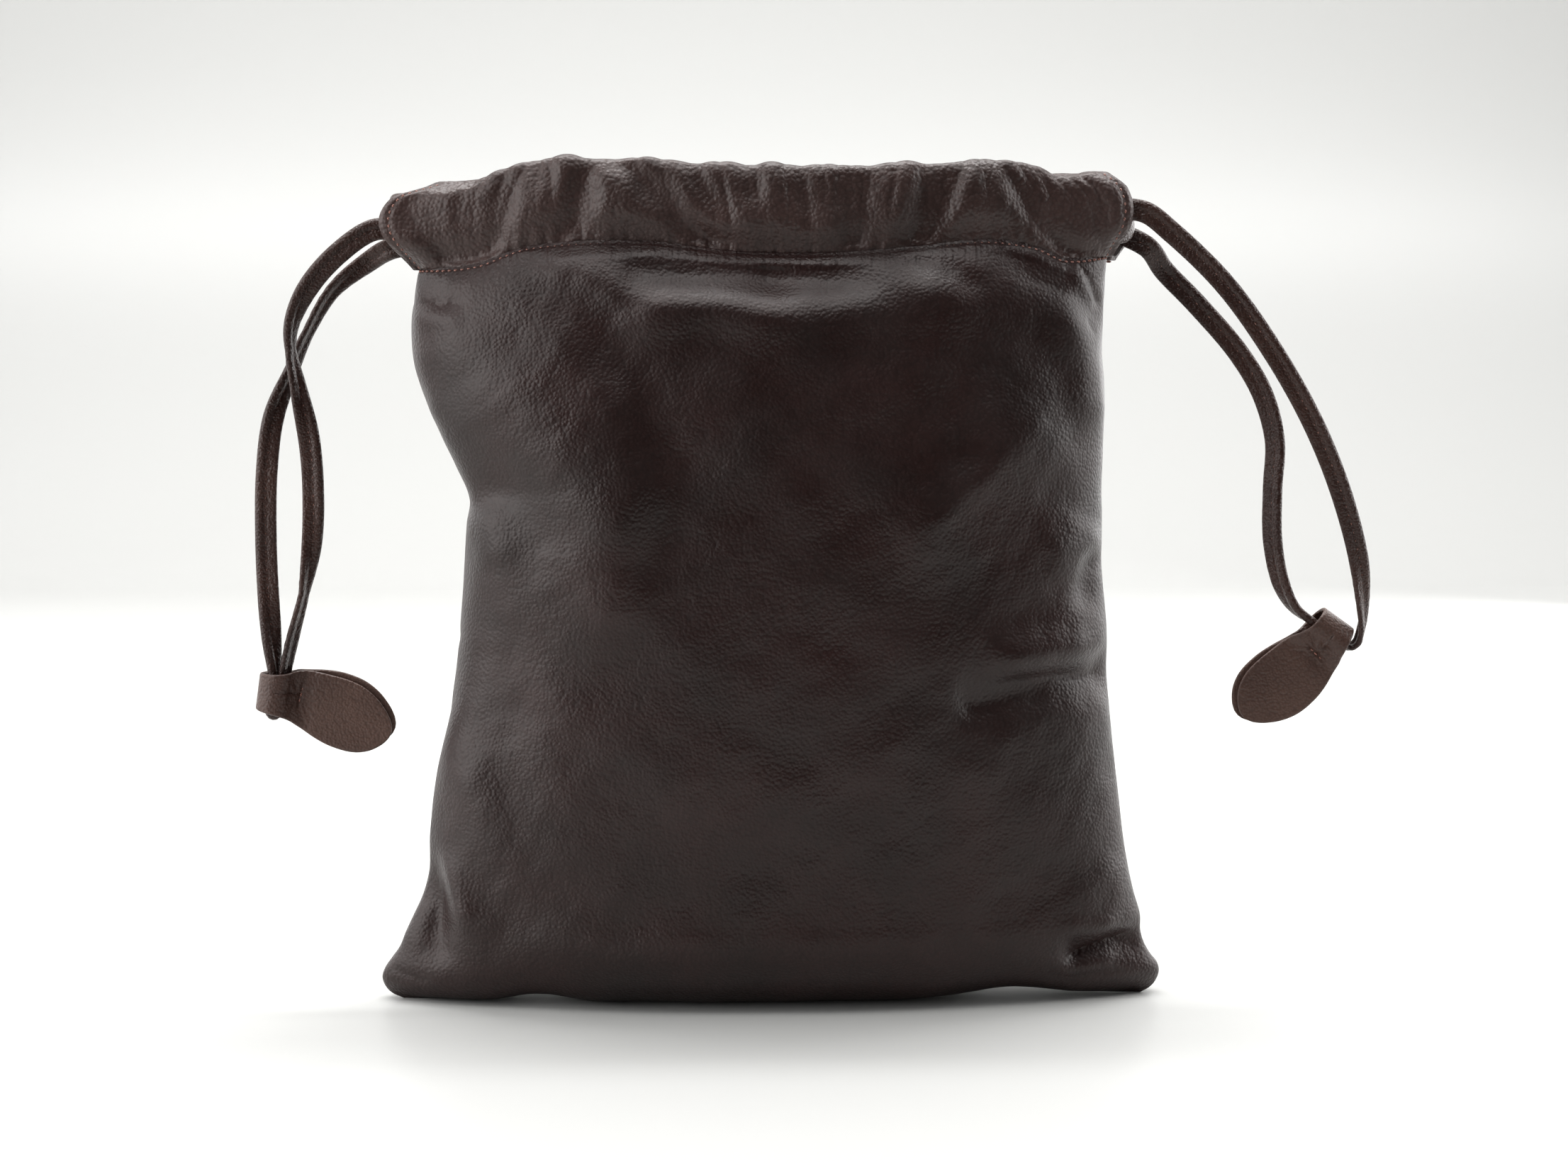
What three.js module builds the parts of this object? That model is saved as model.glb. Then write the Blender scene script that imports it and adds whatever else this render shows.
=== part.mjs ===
import * as THREE from 'three';

// A soft leather drawstring pouch that stands on its base. Millimetres, +Z up, front towards -Y.
// The origin is on the floor, under the middle of the pouch, in the plane of the side seams.

// Driving dimensions of the bag body
const halfWidth = 137; // middle to the tip of a bottom corner
const hemHeight = 259; // floor to the stitch line under the casing
const frontDepth = 44; // side seams to the fullest part of the front
const backDepth = 45; // side seams to the fullest part of the back
const frontBaseRadius = 30; // rounding from the base into the front
const backBaseRadius = 22; // rounding from the base into the back
const leather = 1.6; // wall of the body and the casings
const seamGap = 0.3; // clear space between pieces that touch

// Driving dimensions of the casings, the gathered channels round the mouth
const casingHeight = 31; // stitch line to the top of the casing
const casingThickness = 13.5; // across a full, puffed casing
const casingPinch = 6.4; // across the casing at its stitch line
const mouthDepth = 25; // side seams to the middle of a casing

// Driving dimensions of the drawstrings and their pulls
const strapWidth = 7.5;
const strapThickness = 3;
const lanePitch = 1.1; // clear height between the two straps in the front casing
const pullLeather = 1.4;
const leafLength = 41.5; // middle of the barrel to the tip of the leaf
const leafHalfWidth = 12.3;
const barrelClearance = 0.4; // between the straps and the barrel round them

// How the panels meet the floor and the side seams
const baseFlat = 0.2; // share of the base rows that lie flat before the rounding starts
const seamRise = 1.5; // exponent of the side seams' rise round the base
const seamGrip = 8; // exponent of how closely a row keeps to its seam's height near its ends
const foldFade = 0.35; // share of a section's depth over which the folds fade at the side seams
const tuckUnder = 0.7; // how much sooner the base's lift fades up the back panel

// How the casings are formed. Rises are shares of casingHeight.
const casingFullness = 3; // exponent of the channel's section
const pinchRise = 0.22; // where the channel reaches its full thickness
const leanRise = 0.34; // where the channel's middle reaches its own line
const overhangSpan = 0.14; // share of the length over which an end hangs out
const backGathers = 19; // small gathers along the back casing
const backGatherDeep = 0.07; // share of casingThickness
const rimNotch = 0.6; // how far a gather lowers the top edge, as a share of its depth

// The part of a casing's length that a hidden run follows: it stops just inside each end
const runStart = 0.02;
const runSteps = 13;

// Outline of the side seams seen from the front. Heights are shares of hemHeight,
// left and right are shares of halfWidth.
const edges = [
  { height: 0, left: 0.942, right: 0.955 },
  { height: 0.006, left: 0.968, right: 0.976 },
  { height: 0.015, left: 0.986, right: 0.992 },
  { height: 0.029, left: 0.996, right: 1.002 },
  { height: 0.042, left: 0.99, right: 0.998 },
  { height: 0.054, left: 0.976, right: 0.982 },
  { height: 0.07, left: 0.956, right: 0.967 },
  { height: 0.089, left: 0.942, right: 0.957 },
  { height: 0.112, left: 0.922, right: 0.953 },
  { height: 0.143, left: 0.895, right: 0.934 },
  { height: 0.178, left: 0.878, right: 0.918 },
  { height: 0.232, left: 0.872, right: 0.902 },
  { height: 0.309, left: 0.853, right: 0.884 },
  { height: 0.398, left: 0.814, right: 0.864 },
  { height: 0.502, left: 0.788, right: 0.855 },
  { height: 0.587, left: 0.777, right: 0.842 },
  { height: 0.656, left: 0.765, right: 0.841 },
  { height: 0.687, left: 0.753, right: 0.839 },
  { height: 0.734, left: 0.791, right: 0.842 },
  { height: 0.784, left: 0.834, right: 0.843 },
  { height: 0.83, left: 0.873, right: 0.842 },
  { height: 0.873, left: 0.897, right: 0.836 },
  { height: 0.919, left: 0.903, right: 0.841 },
  { height: 0.965, left: 0.893, right: 0.844 },
  { height: 1, left: 0.883, right: 0.848 },
];

// How full the bag is. Heights are shares of hemHeight, front and back are shares of the depths,
// and fullness is the exponent of the section, 2 for an ellipse.
const depths = [
  { height: 0, front: 0.84, back: 0.84, fullness: 1.9 },
  { height: 0.12, front: 0.84, back: 0.84, fullness: 2 },
  { height: 0.23, front: 0.9, back: 0.9, fullness: 2.1 },
  { height: 0.39, front: 0.96, back: 0.97, fullness: 2.2 },
  { height: 0.58, front: 1, back: 1, fullness: 2.2 },
  { height: 0.75, front: 1, back: 1, fullness: 2.2 },
  { height: 0.86, front: 0.96, back: 0.95, fullness: 2.2 },
  { height: 0.93, front: 0.9, back: 0.88, fullness: 2.3 },
  { height: 0.97, front: 0.8, back: 0.78, fullness: 2.4 },
  { height: 1, front: 0.62, back: 0.62, fullness: 2.5 },
];

// The wavy stitch line. Places are shares of halfWidth, heights are shares of hemHeight.
const hemLine = [
  { place: -0.9, front: 0.979, back: 0.979 },
  { place: -0.74, front: 0.983, back: 0.985 },
  { place: -0.6, front: 1.007, back: 0.996 },
  { place: -0.33, front: 1.014, back: 1.004 },
  { place: -0.08, front: 1, back: 1 },
  { place: 0.15, front: 0.999, back: 1.003 },
  { place: 0.36, front: 1.007, back: 1.006 },
  { place: 0.52, front: 1.016, back: 1.002 },
  { place: 0.65, front: 1.008, back: 0.998 },
  { place: 0.73, front: 0.992, back: 0.995 },
  { place: 0.86, front: 0.999, back: 0.993 },
];

// Places where the base is lifted off the floor. Shares of halfWidth.
const baseLifts = [
  { place: -0.59, width: 0.1, rise: 0.02 },
  { place: 0.61, width: 0.16, rise: 0.029 },
];

// Folds and bulges of the two panels, each along a short line seen from the front.
// Places and widths are shares of halfWidth, heights are shares of hemHeight,
// and out is a share of the depth, negative where the leather sinks in.
const frontFolds = [
  { fromPlace: -0.32, fromHeight: 0.98, toPlace: 0, toHeight: 0.963, width: 0.05, out: -0.06 },
  { fromPlace: 0, fromHeight: 0.963, toPlace: 0.32, toHeight: 0.98, width: 0.05, out: -0.06 },
  { fromPlace: -0.3, fromHeight: 0.94, toPlace: 0.36, toHeight: 0.925, width: 0.06, out: 0.05 },
  { fromPlace: -0.74, fromHeight: 0.86, toPlace: -0.42, toHeight: 0.7, width: 0.12, out: 0.09 },
  { fromPlace: -0.42, fromHeight: 0.84, toPlace: -0.26, toHeight: 0.67, width: 0.12, out: -0.07 },
  { fromPlace: -0.83, fromHeight: 0.79, toPlace: -0.68, toHeight: 0.62, width: 0.06, out: 0.07 },
  { fromPlace: -0.8, fromHeight: 0.36, toPlace: -0.71, toHeight: 0.23, width: 0.07, out: 0.06 },
  { fromPlace: -0.66, fromHeight: 0.46, toPlace: -0.66, toHeight: 0.31, width: 0.08, out: -0.05 },
  { fromPlace: -0.86, fromHeight: 0.18, toPlace: -0.85, toHeight: 0.08, width: 0.05, out: -0.1 },
  { fromPlace: -0.79, fromHeight: 0.18, toPlace: -0.75, toHeight: 0.12, width: 0.05, out: 0.06 },
  { fromPlace: 0.5, fromHeight: 0.415, toPlace: 0.83, toHeight: 0.446, width: 0.05, out: -0.1 },
  { fromPlace: 0.57, fromHeight: 0.478, toPlace: 0.8, toHeight: 0.49, width: 0.06, out: 0.05 },
  { fromPlace: 0.6, fromHeight: 1, toPlace: 0.8, toHeight: 0.93, width: 0.05, out: -0.06 },
  { fromPlace: 0.73, fromHeight: 0.91, toPlace: 0.81, toHeight: 0.8, width: 0.05, out: 0.05 },
  { fromPlace: 0.38, fromHeight: 0.62, toPlace: 0.68, toHeight: 0.75, width: 0.07, out: 0.05 },
  { fromPlace: 0.78, fromHeight: 0.068, toPlace: 0.93, toHeight: 0.075, width: 0.045, out: -0.14 },
  { fromPlace: 0.8, fromHeight: 0.15, toPlace: 0.9, toHeight: 0.16, width: 0.08, out: 0.05 },
];

const backFolds = [
  { fromPlace: -0.78, fromHeight: 0.77, toPlace: -0.79, toHeight: 0.42, width: 0.1, out: 0.13 },
  { fromPlace: 0.76, fromHeight: 0.62, toPlace: 0.4, toHeight: 0.5, width: 0.08, out: -0.07 },
  { fromPlace: -0.6, fromHeight: 0.3, toPlace: -0.2, toHeight: 0.22, width: 0.09, out: -0.06 },
  { fromPlace: 0.1, fromHeight: 0.93, toPlace: 0.6, toHeight: 0.86, width: 0.07, out: -0.06 },
  { fromPlace: 0.84, fromHeight: 0.09, toPlace: 0.72, toHeight: 0.1, width: 0.05, out: -0.1 },
];

// Ends of the casings. Shares of halfWidth: how far the stitch line reaches, and how far
// the full part of the channel hangs out past it.
const casingEnds = {
  front: { left: 0.886, right: 0.85, leftOverhang: 0.062, rightOverhang: 0.022 },
  back: { left: 0.86, right: 0.868, leftOverhang: 0.03, rightOverhang: 0.042 },
};

// The top of the casings. Places are shares of halfWidth, and rise is a share of casingHeight.
const rimLine = [
  { place: -0.92, front: 0.97, back: 0.95 },
  { place: -0.82, front: 1.02, back: 1 },
  { place: -0.7, front: 0.99, back: 1 },
  { place: -0.5, front: 0.97, back: 0.98 },
  { place: -0.3, front: 0.95, back: 0.96 },
  { place: 0, front: 1.01, back: 0.97 },
  { place: 0.3, front: 0.98, back: 0.96 },
  { place: 0.5, front: 0.93, back: 0.97 },
  { place: 0.7, front: 0.96, back: 0.98 },
  { place: 0.8, front: 0.95, back: 1 },
  { place: 0.9, front: 0.9, back: 0.97 },
];

// Gathers of the front casing, from its top edge down. Top, foot and width are shares of
// halfWidth, reach is a share of the casing's height, and deep is a share of its thickness.
const frontGathers = [
  { top: -0.873, foot: -0.77, width: 0.03, reach: 1, deep: 0.15 },
  { top: -0.82, foot: -0.81, width: 0.026, reach: 0.6, deep: 0.2 },
  { top: -0.755, foot: -0.738, width: 0.03, reach: 1, deep: 0.26 },
  { top: -0.65, foot: -0.7, width: 0.028, reach: 1, deep: 0.22 },
  { top: -0.57, foot: -0.57, width: 0.028, reach: 0.35, deep: 0.15 },
  { top: -0.435, foot: -0.5, width: 0.03, reach: 0.9, deep: 0.2 },
  { top: -0.385, foot: -0.13, width: 0.034, reach: 1, deep: 0.26 },
  { top: -0.27, foot: -0.24, width: 0.028, reach: 0.5, deep: 0.15 },
  { top: -0.2, foot: -0.1, width: 0.03, reach: 0.6, deep: 0.22 },
  { top: -0.066, foot: -0.04, width: 0.026, reach: 0.5, deep: 0.15 },
  { top: 0.07, foot: 0.1, width: 0.028, reach: 0.7, deep: 0.22 },
  { top: 0.16, foot: 0.15, width: 0.026, reach: 0.6, deep: 0.14 },
  { top: 0.237, foot: 0.21, width: 0.03, reach: 0.9, deep: 0.28 },
  { top: 0.38, foot: 0.36, width: 0.03, reach: 0.7, deep: 0.26 },
  { top: 0.445, foot: 0.33, width: 0.03, reach: 0.9, deep: 0.22 },
  { top: 0.55, foot: 0.68, width: 0.03, reach: 0.8, deep: 0.22 },
  { top: 0.645, foot: 0.74, width: 0.03, reach: 1, deep: 0.26 },
  { top: 0.7, foot: 0.8, width: 0.026, reach: 0.7, deep: 0.2 },
];

// Where each hidden run lies in its casing. Left and right are heights above the stitch line
// as shares of casingHeight, and inward is a share of the casing's half thickness.
const lanes = {
  leftString: {
    front: { left: 0.44, right: 0.29, inward: 0.24, atEnds: 0.24 },
    back: { left: 0.3, right: 0.59, inward: -0.27, atEnds: 0.2 },
  },
  rightString: {
    front: { left: 0.44, right: 0.29, inward: 0.16, atEnds: 0.16 },
    back: { left: 0.59, right: 0.31, inward: 0.26, atEnds: 0.28 },
  },
};

// Routes of the free loops, points in millimetres chosen by hand. Turn is the angle of the
// strap's width out of the front view, in degrees: 0 or 180 shows the strap's full face.
const leftRouteDown = [
  { x: -135.5, y: -8, z: 267.6, turn: 0 },
  { x: -148, y: -9.5, z: 259.1, turn: 5 },
  { x: -158, y: -9.5, z: 247.6, turn: 25 },
  { x: -163.4, y: -8.5, z: 236, turn: 60 },
  { x: -164.2, y: -7.5, z: 227, turn: 80 },
  { x: -162, y: -6, z: 214, turn: 55 },
  { x: -158.7, y: -4.5, z: 196, turn: 8 },
  { x: -157.7, y: -3.5, z: 178, turn: 0 },
  { x: -158.6, y: -2.5, z: 160, turn: 30 },
  { x: -161.8, y: -1.5, z: 143, turn: 80 },
  { x: -166.3, y: -0.6, z: 126, turn: 70 },
];
const leftRouteUp = [
  { x: -173.2, y: 0, z: 127, turn: 145 },
  { x: -174.2, y: 0.3, z: 143, turn: 178 },
  { x: -174.7, y: 0.6, z: 163, turn: 180 },
  { x: -174.1, y: 1, z: 185, turn: 178 },
  { x: -171.6, y: 1.8, z: 203.5, turn: 160 },
  { x: -165.8, y: 3, z: 218.5, turn: 120 },
  { x: -159.6, y: 4.5, z: 233, turn: 105 },
  { x: -151, y: 7, z: 247.3, turn: 120 },
  { x: -139, y: 8.8, z: 257, turn: 155 },
  { x: -131, y: 5.2, z: 261.4, turn: 175 },
];
const rightRouteDown = [
  { x: 127.9, y: -9.4, z: 273.9, turn: 0 },
  { x: 137, y: -9.5, z: 267.2, turn: 0 },
  { x: 155.3, y: -11, z: 249.5, turn: 0 },
  { x: 172.4, y: -11, z: 226.4, turn: 0 },
  { x: 186.8, y: -10, z: 202, turn: 0 },
  { x: 197.6, y: -8, z: 177.4, turn: 0 },
  { x: 205, y: -5, z: 152.7, turn: 15 },
  { x: 207, y: -2.5, z: 137, turn: 55 },
  { x: 207, y: -1.2, z: 129, turn: 80 },
  { x: 205.8, y: -0.5, z: 124.2, turn: 88 },
  { x: 203.6, y: -0.1, z: 122.6, turn: 90 },
];
const rightRouteUp = [
  { x: 183.6, y: 0.2, z: 136.2, turn: 75 },
  { x: 178.8, y: 0.6, z: 145, turn: 50 },
  { x: 175.8, y: 1.5, z: 160, turn: 40 },
  { x: 175.8, y: 3, z: 178, turn: 40 },
  { x: 176.6, y: 4.5, z: 195, turn: 35 },
  { x: 172.5, y: 6.5, z: 211, turn: 15 },
  { x: 164, y: 8, z: 225.5, turn: 0 },
  { x: 149, y: 9.5, z: 242.8, turn: 0 },
  { x: 138, y: 10, z: 254, turn: 0 },
  { x: 131, y: 4.6, z: 262.2, turn: 0 },
];

// The pulls: where the middle of each barrel lies, and the turn of its leaf about Y in degrees.
const pullPlaces = {
  left: { x: -171.6, y: 0, z: 108, turn: 8 },
  right: { x: 195.5, y: 0, z: 127.5, turn: 125.7 },
};

// Half width of the folded strip. Along is a share of leafLength from the barrel's middle.
const leafOutline = [
  { along: -0.16, half: 0.52 },
  { along: 0.06, half: 0.62 },
  { along: 0.2, half: 0.8 },
  { along: 0.36, half: 0.93 },
  { along: 0.54, half: 1 },
  { along: 0.7, half: 0.96 },
  { along: 0.83, half: 0.78 },
  { along: 0.93, half: 0.5 },
  { along: 0.985, half: 0.24 },
  { along: 1, half: 0.08 },
];
const leafSkew = 0.19; // sideways drift of the leaf for each millimetre along it
const pairTilt = 15; // degrees between the two straps and the leaf's normal in the left barrel

// How finely the shells are faceted
const facets = {
  panelColumns: 30,
  panelBaseRows: 8,
  panelWallRows: 16,
  backColumns: 24,
  backBaseRows: 7,
  backWallRows: 12,
  frontCasingSteps: 60,
  backCasingSteps: 38,
  casingOuterSides: 10,
  casingInnerSides: 8,
  strapStep: 9,
  bendDegrees: [35, 65, 90, 115, 145],
  turnDegrees: [30, 60, 90, 120, 150],
  barrelDegrees: [36, 60, 85, 110, 135, 160, 180, 200, 225, 250, 275, 300, 324],
  leafStations: [1, 0.985, 0.93, 0.83, 0.7, 0.54, 0.36, 0.24],
};

const colours = { body: 0x3a2c2b, casing: 0x423432, strap: 0x2e2221, pull: 0x3d2f2d };

function smoothstep(from, to, value) {
  const share = Math.min(1, Math.max(0, (value - from) / (to - from)));
  return share * share * (3 - 2 * share);
}

function mix(first, second, share) {
  return first + (second - first) * share;
}

// A smooth curve through one column of a table, held level past both ends.
function follow(rows, key, column, at) {
  const last = rows.length - 1;
  if (at <= rows[0][key]) return rows[0][column];
  if (at >= rows[last][key]) return rows[last][column];
  let index = 0;
  while (rows[index + 1][key] < at) index += 1;
  const slope = (low, high) => (rows[high][column] - rows[low][column]) / (rows[high][key] - rows[low][key]);
  const before = slope(Math.max(0, index - 1), index + 1);
  const after = slope(index, Math.min(last, index + 2));
  const span = rows[index + 1][key] - rows[index][key];
  const share = (at - rows[index][key]) / span;
  const square = share * share;
  const cube = square * share;
  return (2 * cube - 3 * square + 1) * rows[index][column]
    + (cube - 2 * square + share) * span * before
    + (3 * square - 2 * cube) * rows[index + 1][column]
    + (cube - square) * span * after;
}

const sides = {
  front: { name: 'front', sign: -1, depth: frontDepth, radius: frontBaseRadius, folds: frontFolds },
  back: { name: 'back', sign: 1, depth: backDepth, radius: backBaseRadius, folds: backFolds },
};

function seamReach(end, height) {
  return halfWidth * follow(edges, 'height', end, height / hemHeight);
}

function hemAt(side, x) {
  return hemHeight * follow(hemLine, 'place', side.name, x / halfWidth);
}

// The lift of the base off the floor at one place, for the shared seam and the leather near it.
function liftAt(x) {
  return baseLifts.reduce((sum, lift) => {
    const away = (x - lift.place * halfWidth) / (lift.width * halfWidth);
    return sum + lift.rise * halfWidth * Math.exp(-away * away);
  }, 0);
}

// The outward shift of a panel's leather, summed over its folds.
function foldShift(side, x, z) {
  return side.folds.reduce((sum, fold) => {
    const startX = fold.fromPlace * halfWidth;
    const startZ = fold.fromHeight * hemHeight;
    const runX = fold.toPlace * halfWidth - startX;
    const runZ = fold.toHeight * hemHeight - startZ;
    const along = ((x - startX) * runX + (z - startZ) * runZ) / (runX * runX + runZ * runZ);
    const held = Math.min(1, Math.max(0, along));
    const away = Math.hypot(x - startX - held * runX, z - startZ - held * runZ);
    const share = away / (fold.width * halfWidth);
    return sum + fold.out * side.depth * Math.exp(-share * share);
  }, 0);
}

// One row of a panel, from the seam under the base (0) round the base corner (1) to the hem (2).
// It gives the height at mid width and at the side seams, the reach of the leather from the seam
// plane, and how far its normal has turned from straight down (0) to level (1).
function panelRow(side, up, inset) {
  const fullReach = side.depth * depths[0][side.name];
  if (up > 1) {
    return { wallShare: up - 1, level: 1 };
  }
  const flat = fullReach - side.radius;
  const arc = Math.max(0, (up - baseFlat) / (1 - baseFlat)) * Math.PI / 2;
  const along = Math.min(1, up / baseFlat);
  const radius = side.radius - inset;
  return {
    middle: side.radius - radius * Math.cos(arc),
    end: mix(inset, side.radius, up ** seamRise),
    reach: flat * along + radius * Math.sin(arc),
    level: Math.sin(arc),
  };
}

// A point of a panel's outer face (inset 0) or inner face (inset the wall). Across runs from
// the left side seam (0) to the right (1), and the sections are halves of superellipses.
function panelPoint(side, across, up, inset) {
  const row = panelRow(side, up, inset);
  const angle = Math.PI * (1 - across);
  const end = angle > Math.PI / 2 ? 'left' : 'right';
  const wall = row.wallShare !== undefined;
  const sectionShare = wall ? mix(side.radius / hemHeight, 1, row.wallShare) : row.end / hemHeight;
  const fullness = follow(depths, 'height', 'fullness', sectionShare);
  const cosine = Math.cos(angle);
  const sine = Math.sin(angle);
  const width = Math.sign(cosine) * Math.abs(cosine) ** (2 / fullness);
  const depth = Math.abs(sine) ** (2 / fullness);
  const seam = halfWidth * follow(edges, 'height', end, sectionShare) - inset;
  const reach = wall ? side.depth * follow(depths, 'height', side.name, sectionShare) - inset : row.reach;
  const x = width * seam;
  const middle = wall ? mix(side.radius, hemAt(side, x) - seamGap, row.wallShare) : row.middle;
  const seamHeight = wall ? middle : row.end;
  const endShare = Math.abs(width) ** seamGrip;
  const tuck = side.sign < 0 ? 1 : 1 - tuckUnder * row.level;
  const baseFade = wall ? 0 : (1 - middle / side.radius) ** 2 * tuck;
  const z = mix(middle, seamHeight, endShare) + liftAt(x) * baseFade * (1 - endShare);
  const normalX = cosine * reach;
  const normalY = sine * seam;
  const length = Math.max(0.001, Math.hypot(normalX, normalY));
  const shift = foldShift(side, x, z) * smoothstep(0, foldFade, depth);
  const level = row.level;
  const down = Math.sqrt(Math.max(0, 1 - level * level));
  return new THREE.Vector3(
    x + shift * level * normalX / length,
    side.sign * (seamGap / 2 + reach * depth + shift * level * normalY / length),
    Math.max(inset, z - shift * down * 0.5),
  );
}

// A closed body from a sheet's outer and inner faces, each a grid of points, joined round its rim.
function shellGeometry(columns, rows, outer, inner, flip) {
  const positions = [];
  const index = [];
  const stride = columns + 1;
  const onOuter = (column, row) => row * stride + column;
  const onInner = (column, row) => (rows + 1 + row) * stride + column;
  for (const face of [outer, inner]) {
    for (let row = 0; row <= rows; row += 1) {
      for (let column = 0; column <= columns; column += 1) {
        positions.push(...face(column, row).toArray());
      }
    }
  }
  const quad = (a, b, c, d) => {
    if (flip) index.push(a, c, b, a, d, c);
    else index.push(a, b, c, a, c, d);
  };
  for (let row = 0; row < rows; row += 1) {
    for (let column = 0; column < columns; column += 1) {
      const next = column + 1;
      quad(onOuter(column, row), onOuter(next, row), onOuter(next, row + 1), onOuter(column, row + 1));
      quad(onInner(column, row), onInner(column, row + 1), onInner(next, row + 1), onInner(next, row));
    }
  }
  for (let column = 0; column < columns; column += 1) {
    const next = column + 1;
    quad(onOuter(column, 0), onInner(column, 0), onInner(next, 0), onOuter(next, 0));
    quad(onOuter(column, rows), onOuter(next, rows), onInner(next, rows), onInner(column, rows));
  }
  for (let row = 0; row < rows; row += 1) {
    const above = row + 1;
    quad(onOuter(0, row), onOuter(0, above), onInner(0, above), onInner(0, row));
    quad(onOuter(columns, row), onInner(columns, row), onInner(columns, above), onOuter(columns, above));
  }
  return indexedGeometry(positions, index);
}

// A closed pipe from an outer and an inner loop of points at each step, open at both ends.
function pipeGeometry(steps, outerSides, innerSides, outer, inner, flip) {
  const positions = [];
  const index = [];
  const innerStart = (steps + 1) * outerSides;
  const onOuter = (step, side) => step * outerSides + (side % outerSides);
  const onInner = (step, side) => innerStart + step * innerSides + (side % innerSides);
  for (let step = 0; step <= steps; step += 1) {
    for (let side = 0; side < outerSides; side += 1) positions.push(...outer(step, side).toArray());
  }
  for (let step = 0; step <= steps; step += 1) {
    for (let side = 0; side < innerSides; side += 1) positions.push(...inner(step, side).toArray());
  }
  const triangle = (a, b, c) => {
    if (flip) index.push(a, c, b);
    else index.push(a, b, c);
  };
  for (let step = 0; step < steps; step += 1) {
    for (let side = 0; side < outerSides; side += 1) {
      triangle(onOuter(step, side), onOuter(step + 1, side), onOuter(step + 1, side + 1));
      triangle(onOuter(step, side), onOuter(step + 1, side + 1), onOuter(step, side + 1));
    }
    for (let side = 0; side < innerSides; side += 1) {
      triangle(onInner(step, side), onInner(step + 1, side + 1), onInner(step + 1, side));
      triangle(onInner(step, side), onInner(step, side + 1), onInner(step + 1, side + 1));
    }
  }
  const startRim = (a, b, c) => triangle(a, b, c);
  const endRim = (a, b, c) => triangle(a, c, b);
  for (const [step, rim] of [[0, startRim], [steps, endRim]]) {
    joinLoops(outerSides, innerSides, (side) => onOuter(step, side), (side) => onInner(step, side), rim);
  }
  return indexedGeometry(positions, index);
}

// Triangles between two loops that start at the same angle but may have different side counts.
function joinLoops(outerSides, innerSides, outer, inner, triangle) {
  let outerStep = 0;
  let innerStep = 0;
  while (outerStep < outerSides || innerStep < innerSides) {
    const outerNext = (outerStep + 1) / outerSides;
    const innerNext = (innerStep + 1) / innerSides;
    if (innerStep === innerSides || (outerStep < outerSides && outerNext <= innerNext)) {
      triangle(outer(outerStep), outer(outerStep + 1), inner(innerStep));
      outerStep += 1;
    } else {
      triangle(outer(outerStep), inner(innerStep + 1), inner(innerStep));
      innerStep += 1;
    }
  }
}

function indexedGeometry(positions, index) {
  const geometry = new THREE.BufferGeometry();
  geometry.setAttribute('position', new THREE.Float32BufferAttribute(positions, 3));
  geometry.setIndex(index);
  geometry.computeVertexNormals();
  return geometry;
}

function panelGeometry(side, columns, baseRows, wallRows) {
  const rows = baseRows + wallRows;
  const upAt = (row) => (row <= baseRows ? row / baseRows : 1 + (row - baseRows) / wallRows);
  const acrossAt = (column) => column / columns;
  const outer = (column, row) => panelPoint(side, acrossAt(column), upAt(row), 0);
  const inner = (column, row) => panelPoint(side, acrossAt(column), upAt(row), leather);
  return shellGeometry(columns, rows, outer, inner, side.sign > 0);
}

// The outer face of a panel's top edge at one place: its distance from the seam plane.
function hemReach(side, x) {
  const end = x < 0 ? 'left' : 'right';
  const seam = seamReach(end, hemHeight);
  const fullness = follow(depths, 'height', 'fullness', 1);
  const share = Math.min(1, Math.abs(x) / seam);
  return side.depth * follow(depths, 'height', side.name, 1) * (1 - share ** fullness) ** (1 / fullness);
}

// The middle line of a casing's channel, which keeps clear of the other casing at its ends.
function channelReach(side, x) {
  const ends = casingEnds[side.name];
  const tip = casingThickness / 2 + 2 * seamGap;
  const share = Math.min(1, Math.abs(x) / (halfWidth * (x < 0 ? ends.left : ends.right)));
  return mix(tip, mouthDepth, (1 - share * share) ** 0.75);
}

// The height of a casing above its stitch line. Place is a share of halfWidth.
function casingRise(side, place) {
  return casingHeight * follow(rimLine, 'place', side.name, place);
}

// The middle of a casing at one place across the bag and one share of its height.
function casingMiddle(side, across, rise) {
  const ends = casingEnds[side.name];
  const footX = mix(-ends.left, ends.right, across) * halfWidth;
  const leftShare = (1 - smoothstep(0, overhangSpan, across)) * ends.leftOverhang;
  const rightShare = smoothstep(1 - overhangSpan, 1, across) * ends.rightOverhang;
  const bulge = Math.sin(Math.PI * Math.min(1, rise / 0.96) ** 1.2) - 0.9 * smoothstep(0.8, 1, rise);
  const x = footX + (rightShare - leftShare) * bulge * halfWidth;
  const foot = Math.max(hemReach(side, footX) - casingPinch / 2, casingPinch / 2 + 2 * seamGap);
  const reach = mix(foot, channelReach(side, footX), smoothstep(0, leanRise, rise));
  const height = rise * casingRise(side, footX / halfWidth);
  return new THREE.Vector3(x, side.sign * reach, hemAt(side, footX) + seamGap + height);
}

function outwardAt(side, across) {
  const step = 0.01;
  const before = casingMiddle(side, Math.max(0, across - step), 0.5);
  const after = casingMiddle(side, Math.min(1, across + step), 0.5);
  const run = after.sub(before).setZ(0).normalize();
  return new THREE.Vector3(-side.sign * run.y, side.sign * run.x, 0);
}

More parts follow.
